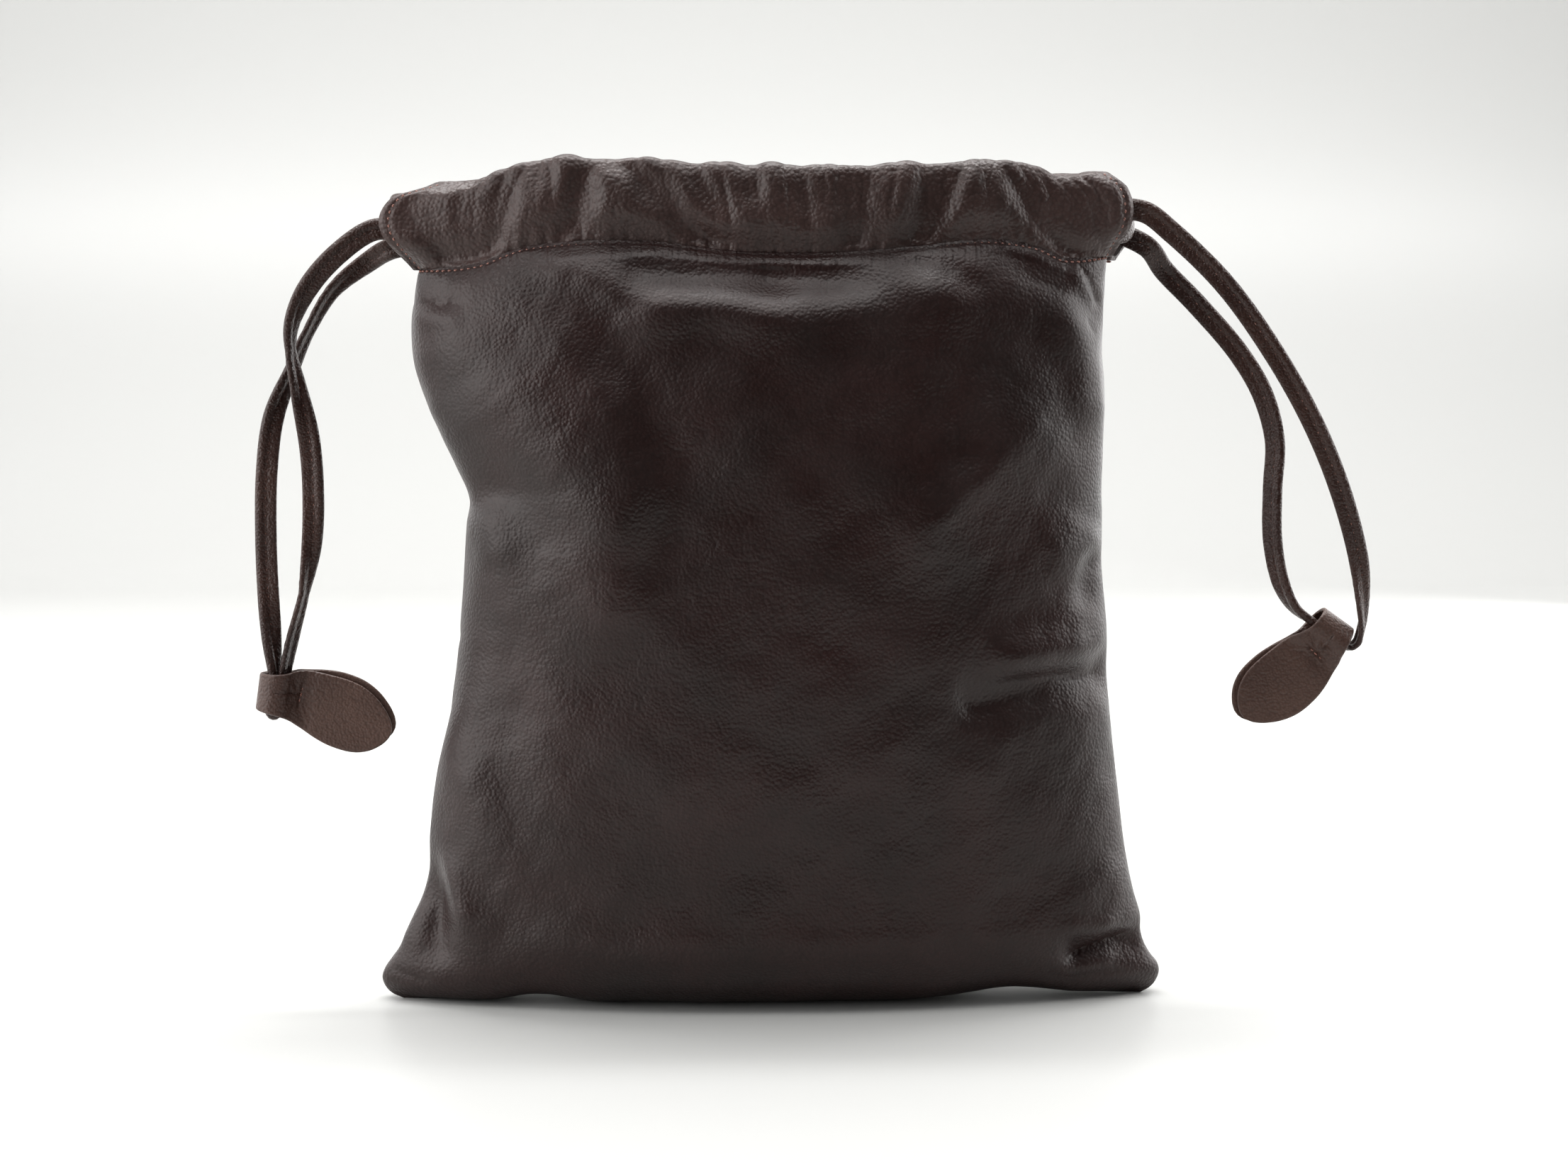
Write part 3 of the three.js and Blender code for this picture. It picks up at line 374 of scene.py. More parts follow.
# Routes of the free loops in millimetres. Turn is the angle of the strap's width out of the front
# view, and rolled is 1 or -1 for the edge that carries the strap's piped half.
ROUTE_COLUMNS = "x y z turn rolled"
LEFT_DOWN = Table(ROUTE_COLUMNS, [
    (-135.5, -8, 267.6, 0, 1),
    (-148, -9.5, 259.1, 5, 1),
    (-158, -9.5, 247.6, 25, 1),
    (-163.4, -8.5, 236, 60, 1),
    (-164.2, -7.5, 227, 80, 0),
    (-162, -6, 214, 55, -1),
    (-158.7, -4.5, 196, 8, -1),
    (-157.7, -3.5, 178, 0, -1),
    (-158.6, -2.5, 160, 30, -1),
    (-161.8, -1.5, 143, 80, -1),
    (-166.3, -0.6, 126, 70, -1),
])
LEFT_UP = Table(ROUTE_COLUMNS, [
    (-173.2, 0, 127, 145, 1),
    (-174.2, 0.3, 143, 178, 1),
    (-174.7, 0.6, 163, 180, 1),
    (-174.1, 1, 185, 178, 1),
    (-171.6, 1.8, 203.5, 160, 1),
    (-165.8, 3, 218.5, 120, 0),
    (-159.6, 4.5, 233, 105, -1),
    (-151, 7, 247.3, 120, -1),
    (-139, 8.8, 257, 155, -1),
    (-131, 5.2, 261.4, 175, -1),
])
RIGHT_DOWN = Table(ROUTE_COLUMNS, [
    (127.9, -9.4, 273.9, 0, -1),
    (137, -9.5, 267.2, 0, -1),
    (155.3, -11, 249.5, 0, -1),
    (172.4, -11, 226.4, 0, -1),
    (186.8, -10, 202, 0, -1),
    (197.6, -8, 177.4, 0, -1),
    (205, -5, 152.7, 15, -1),
    (207, -2.5, 137, 55, -1),
    (207, -1.2, 129, 80, -1),
    (205.8, -0.5, 124.2, 88, -1),
    (203.6, -0.1, 122.6, 90, -1),
])
RIGHT_UP = Table(ROUTE_COLUMNS, [
    (183.6, 0.2, 136.2, 75, 1),
    (178.8, 0.6, 145, 50, 1),
    (175.8, 1.5, 160, 40, 1),
    (175.8, 3, 178, 40, 1),
    (176.6, 4.5, 195, 35, 1),
    (172.5, 6.5, 211, 15, 1),
    (164, 8, 225.5, 0, 1),
    (149, 9.5, 242.8, 0, 1),
    (138, 10, 254, 0, 1),
    (131, 4.6, 262.2, 0, 1),
])

# Half width of the pulls' folded strip. Along is a share of LEAF_LENGTH from the barrel's middle.
LEAF_OUTLINE = Table("along half", [
    (-0.16, 0.52),
    (0.06, 0.62),
    (0.2, 0.8),
    (0.36, 0.93),
    (0.54, 1),
    (0.7, 0.96),
    (0.83, 0.78),
    (0.93, 0.5),
    (0.985, 0.24),
    (1, 0.08),
])
LEAF_STATIONS = (1, 0.985, 0.93, 0.83, 0.7, 0.54, 0.36, 0.24)
BARREL_DEGREES = (36, 60, 85, 110, 135, 160, 180, 200, 225, 250, 275, 300, 324)


def ripple(points: Array, length: float, height: float, seed: int) -> Array:
    """Soft random relief: a sum of sines, each in its own direction and with its own phase.

    Args:
        points: Places in millimetres, with the coordinates on the last axis.
        length: The usual wavelength in millimetres.
        height: The usual height in millimetres.
        seed: Starts the random directions.

    Returns:
        A height at each place.
    """
    source = np.random.default_rng(seed)
    waves = 14
    directions = unit(source.normal(size=(waves, points.shape[-1])))
    lengths = length * source.uniform(0.6, 1.6, waves)
    phases = source.uniform(0, 2 * np.pi, waves)
    angles = points @ (directions * (2 * np.pi / lengths)[:, None]).T + phases
    return height * np.sin(angles).sum(axis=-1) / math.sqrt(waves)


def fold_relief(folds: Table, depth: float, x: Array, z: Array) -> Array:
    """Outward shift of a panel, summed over its folds: a bell of the distance to each fold's line.

    Args:
        folds: The folds, in FOLD_COLUMNS.
        depth: The panel's depth, which the folds' heights are shares of.
        x: Places across the bag in millimetres.
        z: Heights in millimetres.

    Returns:
        The shift at each place in millimetres.
    """
    total = np.zeros(np.broadcast(x, z).shape)
    for fold in folds.rows():
        start_x = fold["from_place"] * HALF_WIDTH
        start_z = fold["from_height"] * HEM_HEIGHT
        run_x = fold["to_place"] * HALF_WIDTH - start_x
        run_z = fold["to_height"] * HEM_HEIGHT - start_z
        along = ((x - start_x) * run_x + (z - start_z) * run_z) / (run_x**2 + run_z**2)
        held = np.clip(along, 0, 1)
        away = np.hypot(x - start_x - held * run_x, z - start_z - held * run_z)
        total += fold["out"] * depth * bell(away, fold["width"] * HALF_WIDTH)
    return total


@dataclass(frozen=True)
class Crease:
    """A finer fold along a line of several points, which fades out at both ends.

    The points are shares of HALF_WIDTH and HEM_HEIGHT, width and out are millimetres. Lean makes
    the flank on the left hand of the line wider where it is positive and steeper where negative.
    """

    line: tuple[tuple[float, float], ...]
    width: float
    out: float
    lean: float = 0.0
    fade: float = 0.3
    sharp: bool = False

    def shift(self, x: Array, z: Array) -> Array:
        """Outward shift: a bell or a sharp valley of the distance to the nearest stretch of the line.

        Args:
            x: Places across the bag in millimetres.
            z: Heights in millimetres.

        Returns:
            The shift at each place in millimetres.
        """
        spots = np.array(self.line) * np.array([HALF_WIDTH, HEM_HEIGHT])
        reached = arc_length(spots)
        nearest = np.full(np.shape(x), np.inf)
        place, hand = np.zeros(np.shape(x)), np.zeros(np.shape(x))
        for start, stop, before in zip(spots[:-1], spots[1:], reached):
            run = stop - start
            along = np.clip(((x - start[0]) * run[0] + (z - start[1]) * run[1]) / (run @ run), 0, 1)
            away_x, away_z = x - start[0] - along * run[0], z - start[1] - along * run[1]
            distance = np.hypot(away_x, away_z)
            closer = distance < nearest
            nearest = np.where(closer, distance, nearest)
            place = np.where(closer, before + along * math.hypot(*run), place)
            hand = np.where(closer, np.sign(run[0] * away_z - run[1] * away_x), hand)
        share = place / reached[-1]
        ends = smoothstep(0, self.fade, share) * smoothstep(1, 1 - self.fade, share)
        profile = fold_line if self.sharp else bell
        return self.out * ends * profile(nearest, self.width * (1 + self.lean * hand))


FRONT_CREASES = (
    # The big lobe at the upper left, with its steep flank
    Crease(
        ((-0.64, 0.95), (-0.52, 0.88), (-0.41, 0.8), (-0.35, 0.7), (-0.4, 0.58), (-0.5, 0.44)),
        19, 5.4, -0.4,
    ),
    Crease(((-0.8, 0.87), (-0.693, 0.792), (-0.548, 0.721), (-0.42, 0.67)), 16, 1.6),
    # The rolls and hollows under the stitch line
    Crease(((-0.42, 0.88), (-0.29, 0.922), (-0.133, 0.934), (0.013, 0.916), (0.2, 0.875)), 9, 1.7, -0.2),
    Crease(((-0.4, 0.95), (-0.3, 0.965), (-0.021, 0.97), (0.168, 0.96), (0.3, 0.965)), 5.5, -1.9),
    Crease(((0.3, 0.99), (0.379, 0.991), (0.453, 0.98), (0.52, 0.94)), 4, -1.3),
    Crease(((-0.62, 0.985), (-0.49, 0.981), (-0.4, 0.955), (-0.334, 0.925)), 6, 1.3, 0.2),
    Crease(((0.2, 0.985), (0.339, 0.969), (0.43, 0.945), (0.5, 0.9)), 6.5, 1.5),
    Crease(((-0.6, 0.998), (-0.3, 1.0), (0, 0.988), (0.2, 0.99), (0.4, 0.998)), 2.6, 0.7),
    # Soft diagonal ridges at the right
    Crease(((0.28, 0.58), (0.352, 0.648), (0.509, 0.725), (0.656, 0.803), (0.72, 0.87)), 12, 3.0, 0.35),
    Crease(((0.4, 0.84), (0.46, 0.78), (0.47, 0.7)), 8, -1.1),
    Crease(((0.67, 1.0), (0.72, 0.946), (0.768, 0.842), (0.78, 0.74)), 8, 1.9),
    Crease(((0.56, 1.015), (0.636, 1.006), (0.744, 0.986), (0.793, 0.955), (0.84, 0.92)), 4, 1.3, 0, 0.2),
    Crease(((0.7, 1.01), (0.762, 0.99), (0.8, 0.96), (0.84, 0.925)), 2, -1.6, 0, 0.2, True),
    Crease(((0.6, 0.972), (0.66, 0.966), (0.745, 0.948)), 1.3, -0.6, sharp=True),
    Crease(((0.78, 0.92), (0.806, 0.895)), 1.2, -0.6, sharp=True),
    Crease(((0.81, 0.62), (0.79, 0.57), (0.8, 0.52)), 4.5, -1.9),
    Crease(((0.66, 0.6), (0.76, 0.62), (0.8, 0.66)), 8, 1.2),
    # The long crease that runs in from the right side seam
    Crease(((0.5, 0.432), (0.6, 0.445), (0.7, 0.447), (0.86, 0.442)), 3.2, -1.5, -0.2, sharp=True),
    Crease(((0.5, 0.46), (0.64, 0.482), (0.74, 0.484), (0.84, 0.466)), 7, 1.8),
    Crease(((0.42, 0.42), (0.52, 0.46), (0.56, 0.5)), 7, -1.0),
    # Creases at the left side seam
    Crease(((-0.93, 0.939), (-0.82, 0.937), (-0.74, 0.94)), 1.6, -1.1, sharp=True),
    Crease(((-0.93, 0.92), (-0.84, 0.918), (-0.74, 0.915)), 3.4, 0.9),
    Crease(((-0.79, 0.74), (-0.71, 0.67), (-0.67, 0.6), (-0.69, 0.5)), 12, 1.2, -0.3),
    # The lower left: a grainy dimple beside a light ridge
    Crease(((-0.9, 0.2), (-0.86, 0.13), (-0.87, 0.06)), 4.5, -1.8),
    Crease(((-0.84, 0.22), (-0.79, 0.16), (-0.77, 0.1)), 5, 1.5, -0.2),
    Crease(((-0.99, 0.05), (-0.93, 0.036), (-0.86, 0.03)), 2.0, -1.3, sharp=True),
    # The lower right: a deep fold into the corner with a rolled lobe under it
    Crease(((0.72, 0.05), (0.8, 0.068), (0.88, 0.08), (0.96, 0.09)), 2.4, -2.2, -0.2, sharp=True),
    Crease(((0.7, 0.04), (0.8, 0.05), (0.9, 0.058)), 3, 1.2),
    Crease(((0.7, 0.11), (0.8, 0.105), (0.9, 0.115)), 3.5, 1.0),
    Crease(((0.68, 0.045), (0.76, 0.034), (0.9, 0.04)), 1.8, -1.3, sharp=True),
    # Long low waves near the base
    Crease(((-0.6, 0.1), (-0.3, 0.075), (0.1, 0.07), (0.5, 0.085)), 10, 1.4),
    Crease(((-0.5, 0.22), (-0.1, 0.2), (0.4, 0.24)), 14, -1.0),
)
BACK_CREASES = (
    Crease(((-0.5, 0.96), (-0.2, 0.97), (0.1, 0.962), (0.4, 0.97)), 5, -1.6),
    Crease(((-0.5, 0.93), (-0.2, 0.935), (0.2, 0.925), (0.45, 0.935)), 8, 1.4),
    Crease(((-0.84, 0.5), (-0.74, 0.48), (-0.6, 0.5)), 2.6, -1.4),
    Crease(((0.84, 0.62), (0.72, 0.66), (0.56, 0.6), (0.4, 0.62)), 5, -1.3),
    Crease(((0.8, 0.72), (0.6, 0.7), (0.46, 0.76)), 9, 1.7),
    Crease(((-0.6, 0.8), (-0.5, 0.7), (-0.46, 0.56)), 11, 2.0, 0.3),
    Crease(((0.9, 0.07), (0.8, 0.085), (0.7, 0.07)), 2.4, -1.6),
    Crease(((-0.94, 0.06), (-0.84, 0.07), (-0.74, 0.055)), 2.4, -1.5),
    Crease(((-0.4, 0.3), (0, 0.24), (0.4, 0.3)), 12, -1.2),
)


def hem_at(side: Side, x: Array) -> Array:
    """Height of the stitch line at one place across the bag."""
    return HEM_HEIGHT * HEM_LINE.follow(side.value, x / HALF_WIDTH)


def side_depth(side: Side) -> float:
    """Greatest depth of one half of the bag."""
    return FRONT_DEPTH if side is Side.FRONT else BACK_DEPTH


def hem_reach(side: Side, x: Array) -> Array:
    """Distance of a panel's top edge from the seam plane: half a superellipse between the seams."""
    ends = np.where(x < 0, EDGES.columns["left"][-1], EDGES.columns["right"][-1])
    fullness = DEPTHS.columns["fullness"][-1]
    share = np.minimum(1, np.abs(x) / (HALF_WIDTH * ends))
    return side_depth(side) * DEPTHS.columns[side.value][-1] * (1 - share**fullness) ** (1 / fullness)


def signed_volume(points: Array, faces: list[Array]) -> float:
    """Volume inside a closed mesh, negative where its faces point inwards: the sum over the fan
    triangles of each face of the box product of their corners, divided by six."""
    total = 0.0
    for group in faces:
        for corner in range(1, group.shape[1] - 1):
            first, second, third = (points[group[:, place]] for place in (0, corner, corner + 1))
            total += np.einsum("ij,ij->", first, np.cross(second, third)) / 6
    return total


def lay_mesh(
    name: str,
    points: Array,
    faces: list[Array],
    layers: dict[str, Array] | None = None,
    crisp_degrees: float = 45.0,
) -> bpy.types.Object:
    """Put a closed surface into Blender with its faces pointing out.

    Args:
        name: The piece's name.
        points: Its corners in millimetres, one row each.
        faces: Groups of faces, each group an array with one row of corner indices for each face.
        layers: Named numbers at the corners, for the finish.
        crisp_degrees: Edges sharper than this are shaded crisp.

    Returns:
        The new object, at the origin.
    """
    if signed_volume(points, faces) < 0:
        faces = [group[:, ::-1] for group in faces]
    mesh = bpy.data.meshes.new(name)
    listed = [face for group in faces for face in group.tolist()]
    mesh.from_pydata((points * MM).tolist(), [], listed)
    mesh.polygons.foreach_set("use_smooth", np.ones(len(mesh.polygons), dtype=bool))
    mesh.set_sharp_from_angle(angle=math.radians(crisp_degrees))
    for layer, values in (layers or {}).items():
        attribute = mesh.attributes.new(layer, "FLOAT", "POINT")
        attribute.data.foreach_set("value", np.ascontiguousarray(values, dtype=np.float32).ravel())
    mesh.update()
    piece = bpy.data.objects.new(name, mesh)
    bpy.context.scene.collection.objects.link(piece)
    return piece


def grid_faces(numbers: Array) -> Array:
    """Quads between neighbouring rows and columns of a grid of corner numbers."""
    return np.stack(
        [numbers[:-1, :-1], numbers[:-1, 1:], numbers[1:, 1:], numbers[1:, :-1]], axis=-1
    ).reshape(-1, 4)


def rim_faces(fine: Array, coarse: Array, thin: int) -> Array:
    """Faces between a fine line of corners and a coarse one with a corner at every thin-th place.

    Args:
        fine: Corner numbers along the fine line.
        coarse: Corner numbers along the coarse line.
        thin: How many fine steps one coarse step spans.

    Returns:
        One face for each coarse step, with thin + 3 corners.
    """
    starts = np.arange(len(coarse) - 1) * thin
    near = fine[starts[:, None] + np.arange(thin + 1)]
    far = np.stack([coarse[1:], coarse[:-1]], axis=-1)
    return np.concatenate([near, far], axis=-1)


def shell(outer: Array, inner: Array, thin: int) -> tuple[Array, list[Array]]:
    """Close a sheet of leather: a fine outer grid, a coarser inner grid, and four rims between them.

    Args:
        outer: Points of the outer face, rows by columns by three.
        inner: Points of the inner face, with every thin-th row and column.
        thin: How much coarser the inner grid is.

    Returns:
        The corners and the groups of faces.
    """
    near = np.arange(outer.shape[0] * outer.shape[1]).reshape(outer.shape[:2])
    far = near.size + np.arange(inner.shape[0] * inner.shape[1]).reshape(inner.shape[:2])
    points = np.concatenate([outer.reshape(-1, 3), inner.reshape(-1, 3)])
    faces = [
        grid_faces(near),
        grid_faces(far)[:, ::-1],
        rim_faces(near[0], far[0], thin)[:, ::-1],
        rim_faces(near[-1], far[-1], thin),
        rim_faces(near[:, 0], far[:, 0], thin),
        rim_faces(near[:, -1], far[:, -1], thin)[:, ::-1],
    ]
    return points, faces


def pipe(outer: Array, inner: Array, thin: int) -> tuple[Array, list[Array]]:
    """Close a pipe that is open at both ends, from loops of points that don't repeat their first.

    Args:
        outer: Points of the outer face, steps by sides by three.
        inner: Points of the inner face, with every thin-th step and side.
        thin: How much coarser the inner grid is.

    Returns:
        The corners and the groups of faces.
    """
    near = np.arange(outer.shape[0] * outer.shape[1]).reshape(outer.shape[:2])
    far = near.size + np.arange(inner.shape[0] * inner.shape[1]).reshape(inner.shape[:2])
    near = np.concatenate([near, near[:, :1]], axis=1)
    far = np.concatenate([far, far[:, :1]], axis=1)
    points = np.concatenate([outer.reshape(-1, 3), inner.reshape(-1, 3)])
    faces = [
        grid_faces(near),
        grid_faces(far)[:, ::-1],
        rim_faces(near[0], far[0], thin)[:, ::-1],
        rim_faces(near[-1], far[-1], thin),
    ]
    return points, faces


def rod(rings: Array) -> tuple[Array, list[Array]]:
    """Close a rod from its rings of points, with a flat face at each end.

    Args:
        rings: Points, rings by corners by three.

    Returns:
        The corners and the groups of faces.
    """
    numbers = np.arange(rings.shape[0] * rings.shape[1]).reshape(rings.shape[:2])
    wrapped = np.concatenate([numbers, numbers[:, :1]], axis=1)
    caps = [numbers[:1, ::-1], numbers[-1:]]
    return rings.reshape(-1, 3), [grid_faces(wrapped), *caps]


def frames_along(path: Array) -> Array:
    """Unit directions along a path, from each point's two neighbours."""
    ahead = np.concatenate([path[1:], path[-1:]])
    behind = np.concatenate([path[:1], path[:-1]])
    return unit(ahead - behind)


def arc_length(path: Array) -> Array:
    """Distance along a path to each of its points."""
    steps = np.linalg.norm(np.diff(path, axis=0), axis=1)
    return np.concatenate([[0], np.cumsum(steps)])


def spline(corners: Array, step: float) -> tuple[Array, Array]:
    """A centripetal Catmull-Rom curve through corner points.

    Between two corners it is the cubic whose slopes weigh the neighbouring spans by the square
    root of their lengths, so it doesn't overshoot where corners lie close together.

    Args:
        corners: The points, one row each.
        step: About how far apart the samples lie, in the corners' units.

    Returns:
        The samples, and the place of each as a corner number with a fraction.
    """
    first = 2 * corners[0] - corners[1]
    last = 2 * corners[-1] - corners[-2]
    padded = np.concatenate([[first], corners, [last]])
    lengths = np.linalg.norm(np.diff(corners, axis=0), axis=1)
    counts = np.maximum(1, np.round(lengths / step)).astype(int)
    spans = np.repeat(np.arange(len(counts)), counts)
    starts = np.concatenate([[0], np.cumsum(counts)[:-1]])
    shares = (np.arange(counts.sum()) - starts[spans]) / counts[spans]
    places = np.append(spans + shares, len(corners) - 1)
    spans = np.append(spans, len(corners) - 2)
    shares = (places - spans)[:, None]
    before, start, end, after = (padded[spans + shift] for shift in range(4))
    gaps = [
        np.maximum(np.linalg.norm(high - low, axis=1, keepdims=True) ** 0.5, 0.01)
        for low, high in ((before, start), (start, end), (end, after))
    ]
    leave = (start - before) / gaps[0] - (end - before) / (gaps[0] + gaps[1]) + (end - start) / gaps[1]
    reach = (end - start) / gaps[1] - (after - start) / (gaps[1] + gaps[2]) + (after - end) / gaps[2]
    leave, reach = leave * gaps[1], reach * gaps[1]
    samples = (
        start
        + leave * shares
        + (3 * (end - start) - 2 * leave - reach) * shares**2
        + (2 * (start - end) + leave + reach) * shares**3
    )
    return samples, places


def linear(hex_code: str) -> tuple[float, float, float, float]:
    """An sRGB hex colour as linear light with full alpha."""
    parts = [int(hex_code[place : place + 2], 16) / 255 for place in (1, 3, 5)]
    light = [part / 12.92 if part <= 0.04045 else ((part + 0.055) / 1.055) ** 2.4 for part in parts]
    return (*light, 1.0)


def add_node(
    tree: bpy.types.NodeTree, kind: str, links: dict | None = None, values: dict | None = None, **settings
) -> bpy.types.Node:
    """Add one node to a tree.

    Args:
        tree: The node tree.
        kind: The node's type name.
        links: Input name or number to the output socket that feeds it.
        values: Input name or number to its constant.
        settings: Properties of the node.

    Returns:
        The node.
    """
    node = tree.nodes.new(kind)
    for name, value in settings.items():
        setattr(node, name, value)
    for name, value in (values or {}).items():
        node.inputs[name].default_value = value
    for name, socket in (links or {}).items():
        tree.links.new(socket, node.inputs[name])
    return node


def dyed(
    tree: bpy.types.NodeTree, share: bpy.types.NodeSocket, deep: str, lit: str
) -> bpy.types.NodeSocket:
    """The colour between two sRGB hex colours at a share that a socket gives."""
    ends = {6: linear(deep), 7: linear(lit)}
    return add_node(tree, "ShaderNodeMix", {"Factor": share}, ends, data_type="RGBA").outputs[2]


def noise(tree: bpy.types.NodeTree, place: bpy.types.NodeSocket, **values: float) -> bpy.types.Node:
    """A noise over a place, with its inputs given by name."""
    return add_node(tree, "ShaderNodeTexNoise", {"Vector": place}, values)


def bump(
    tree: bpy.types.NodeTree,
    height: bpy.types.NodeSocket,
    strength: float,
    distance: float,
    under: bpy.types.NodeSocket | None = None,
    invert: bool = False,
) -> bpy.types.NodeSocket:
    """Tilt the surface by a height.

    Args:
        tree: The node tree.
        height: The socket that gives the height.
        strength: How much of it counts.
        distance: The height's scale in metres.
        under: A normal that is tilted already.
        invert: True where a greater height lies deeper.

    Returns:
        The tilted normal.
    """
    links = {"Height": height, "Normal": under} if under is not None else {"Height": height}
    values = {"Strength": strength, "Distance": distance}
    return add_node(tree, "ShaderNodeBump", links, values, invert=invert).outputs[0]


@dataclass(frozen=True)
class Finish:
    """What the finishes share: a name, and a surface on an otherwise empty node tree."""

    name: str

    def build(self) -> bpy.types.Material:
        """Make the material's nodes.

        Returns:
            The material.
        """
        material = bpy.data.materials.new(self.name)
        material.use_nodes = True
        tree = material.node_tree
        tree.nodes.clear()
        place = add_node(tree, "ShaderNodeTexCoord").outputs["Object"]
        links, values = self.surface(tree, place)
        surface = add_node(tree, "ShaderNodeBsdfPrincipled", links, values)
        add_node(tree, "ShaderNodeOutputMaterial", {"Surface": surface.outputs[0]})
        return material

    def surface(self, tree: bpy.types.NodeTree, place: bpy.types.NodeSocket) -> tuple[dict, dict]:
        """Add the finish's own nodes.

        Args:
            tree: The material's nodes.
            place: The place in the piece's own frame.

        Returns:
            The sockets that feed the surface's inputs, and the inputs' constants.
        """
        raise NotImplementedError


@dataclass(frozen=True)
class NappaFinish(Finish):
    """Aniline-dyed nappa: smooth lambskin, drum dyed, with a thin glazed top coat.

    The skin's own pebbled grain shows in the gloss, which is soft and broad. Colour varies a
    little with how the dye took, the colour is darkened towards the grain's pits as painted shade,
    and the gloss varies in soft patches.
    """

    deep: str
    lit: str
    grain_mm: float = 1.15
    grain_deep_mm: float = 0.05
    gloss: float = 0.41
    wrinkle_mm: float = 6.0
    wrinkle_deep_mm: float = 0.02
    coat: float = 0.04
    pucker_mm: float = 0.0

    def surface(self, tree: bpy.types.NodeTree, place: bpy.types.NodeSocket) -> tuple[dict, dict]:
        """Dye, pebbled grain with painted shade in its pits, pores and slow wrinkles. See Finish for the
        arguments.
        """
        grain, deep = self.grain_mm * MM, self.grain_deep_mm * MM
        drift = noise(tree, place, Scale=0.5 / grain, Detail=2.0)
        bent = add_node(
            tree,
            "ShaderNodeVectorMath",
            {0: drift.outputs["Color"], 2: place},
            {1: (0.45 * self.grain_mm * MM,) * 3},
            operation="MULTIPLY_ADD",
        )
        pebbles = add_node(
            tree,
            "ShaderNodeTexVoronoi",
            {"Vector": bent.outputs[0]},
            {"Scale": 1 / grain, "Smoothness": 0.55},
            feature="SMOOTH_F1",
        ).outputs["Distance"]
        pores = noise(tree, place, Scale=2.2 / grain, Detail=3.0, Roughness=0.6)
        creases = noise(
            tree, place, Scale=1 / (self.wrinkle_mm * MM), Detail=2.0, Roughness=0.5, Distortion=0.2
        )
        dye = noise(tree, place, Scale=26.0, Detail=5.0, Roughness=0.55)
        patches = noise(tree, place, Scale=60.0, Detail=2.0)
        tint = add_node(
            tree, "ShaderNodeMapRange", {"Value": dye.outputs["Fac"]}, {"From Min": 0.35, "From Max": 0.68}
        )
        # Painted shade: the dye's colour darkens towards the pits between the pebbles, down to 0.72 of it
        pit_shade = add_node(
            tree,
            "ShaderNodeMapRange",
            {"Value": pebbles},
            {"From Min": 0.35, "From Max": 0.8, "To Min": 1.0, "To Max": 0.72},
        )
        shaded = add_node(
            tree,
            "ShaderNodeVectorMath",
            {0: dyed(tree, tint.outputs[0], self.deep, self.lit), "Scale": pit_shade.outputs[0]},
            operation="SCALE",
        )
        dullness = add_node(
            tree,
            "ShaderNodeMapRange",
            {"Value": patches.outputs["Fac"]},
            {"From Min": 0.3, "From Max": 0.7, "To Min": self.gloss - 0.05, "To Max": self.gloss + 0.07},
        )
        puckers = self.puckers(tree, place) if self.pucker_mm else None
        flow = bump(tree, creases.outputs["Fac"], 0.6, self.wrinkle_deep_mm * MM * 4, puckers)
        grained = bump(tree, pebbles, 1.0, deep * 3, flow, invert=True)
        fine = bump(tree, pores.outputs["Fac"], 0.5, deep, grained)
        links = {"Base Color": shaded.outputs[0], "Roughness": dullness.outputs[0], "Normal": fine}
        return links, {
            "IOR": 1.4,
            "Metallic": 0.0,
            "Specular Tint": (1.0, 0.95, 0.93, 1.0),
            "Coat Weight": self.coat,
            "Coat Roughness": 0.3,
        }

    def puckers(self, tree: bpy.types.NodeTree, place: bpy.types.NodeSocket) -> bpy.types.NodeSocket:
        """Short gathers that the stitches draw into the leather beside the seam.

        Their height is a noise of the place along the seam, stretched down the leather, times the
        pucker attribute, which fades away from the seam.

        Args:
            tree: The material's nodes.
            place: The place in the piece's own frame.

        Returns:
            The normal that they give.
        """
        run = add_node(tree, "ShaderNodeAttribute", attribute_name="run").outputs["Fac"]
        near = add_node(tree, "ShaderNodeAttribute", attribute_name="pucker").outputs["Fac"]
        height = add_node(tree, "ShaderNodeSeparateXYZ", {0: place}).outputs["Z"]
        slow = add_node(tree, "ShaderNodeMath", {0: height}, {1: 0.14}, operation="MULTIPLY")
        spot = add_node(tree, "ShaderNodeCombineXYZ", {"X": run, "Y": slow.outputs[0]})
        folds = noise(
            tree, spot.outputs[0], Scale=1 / (STITCH_PITCH * MM) * 0.8, Detail=1.5, Roughness=0.5
        )
        depth = add_node(
            tree, "ShaderNodeMath", {0: folds.outputs["Fac"], 1: near}, operation="MULTIPLY"
        )
        return bump(tree, depth.outputs[0], 1.0, self.pucker_mm * MM)


@dataclass(frozen=True)
class FleshSideFinish(Finish):
    """The flesh side of the skin: dyed through and napped, so it is dull and a little fuzzy."""

    name: str = "flesh_side_suede"
    deep: str = "#2d2320"
    lit: str = "#43352f"

    def surface(self, tree: bpy.types.NodeTree, place: bpy.types.NodeSocket) -> tuple[dict, dict]:
        """A fine nap over a brushed colour. See Finish for the arguments."""
        nap = noise(tree, place, Scale=1800.0, Detail=4.0, Roughness=0.7)
        brushed = noise(tree, place, Scale=70.0, Detail=4.0, Distortion=1.2)
        links = {
            "Base Color": dyed(tree, brushed.outputs["Fac"], self.deep, self.lit),
            "Normal": bump(tree, nap.outputs["Fac"], 0.6, 0.0002),
        }
        return links, {"IOR": 1.45, "Roughness": 0.92, "Sheen Weight": 0.25, "Sheen Roughness": 0.5}


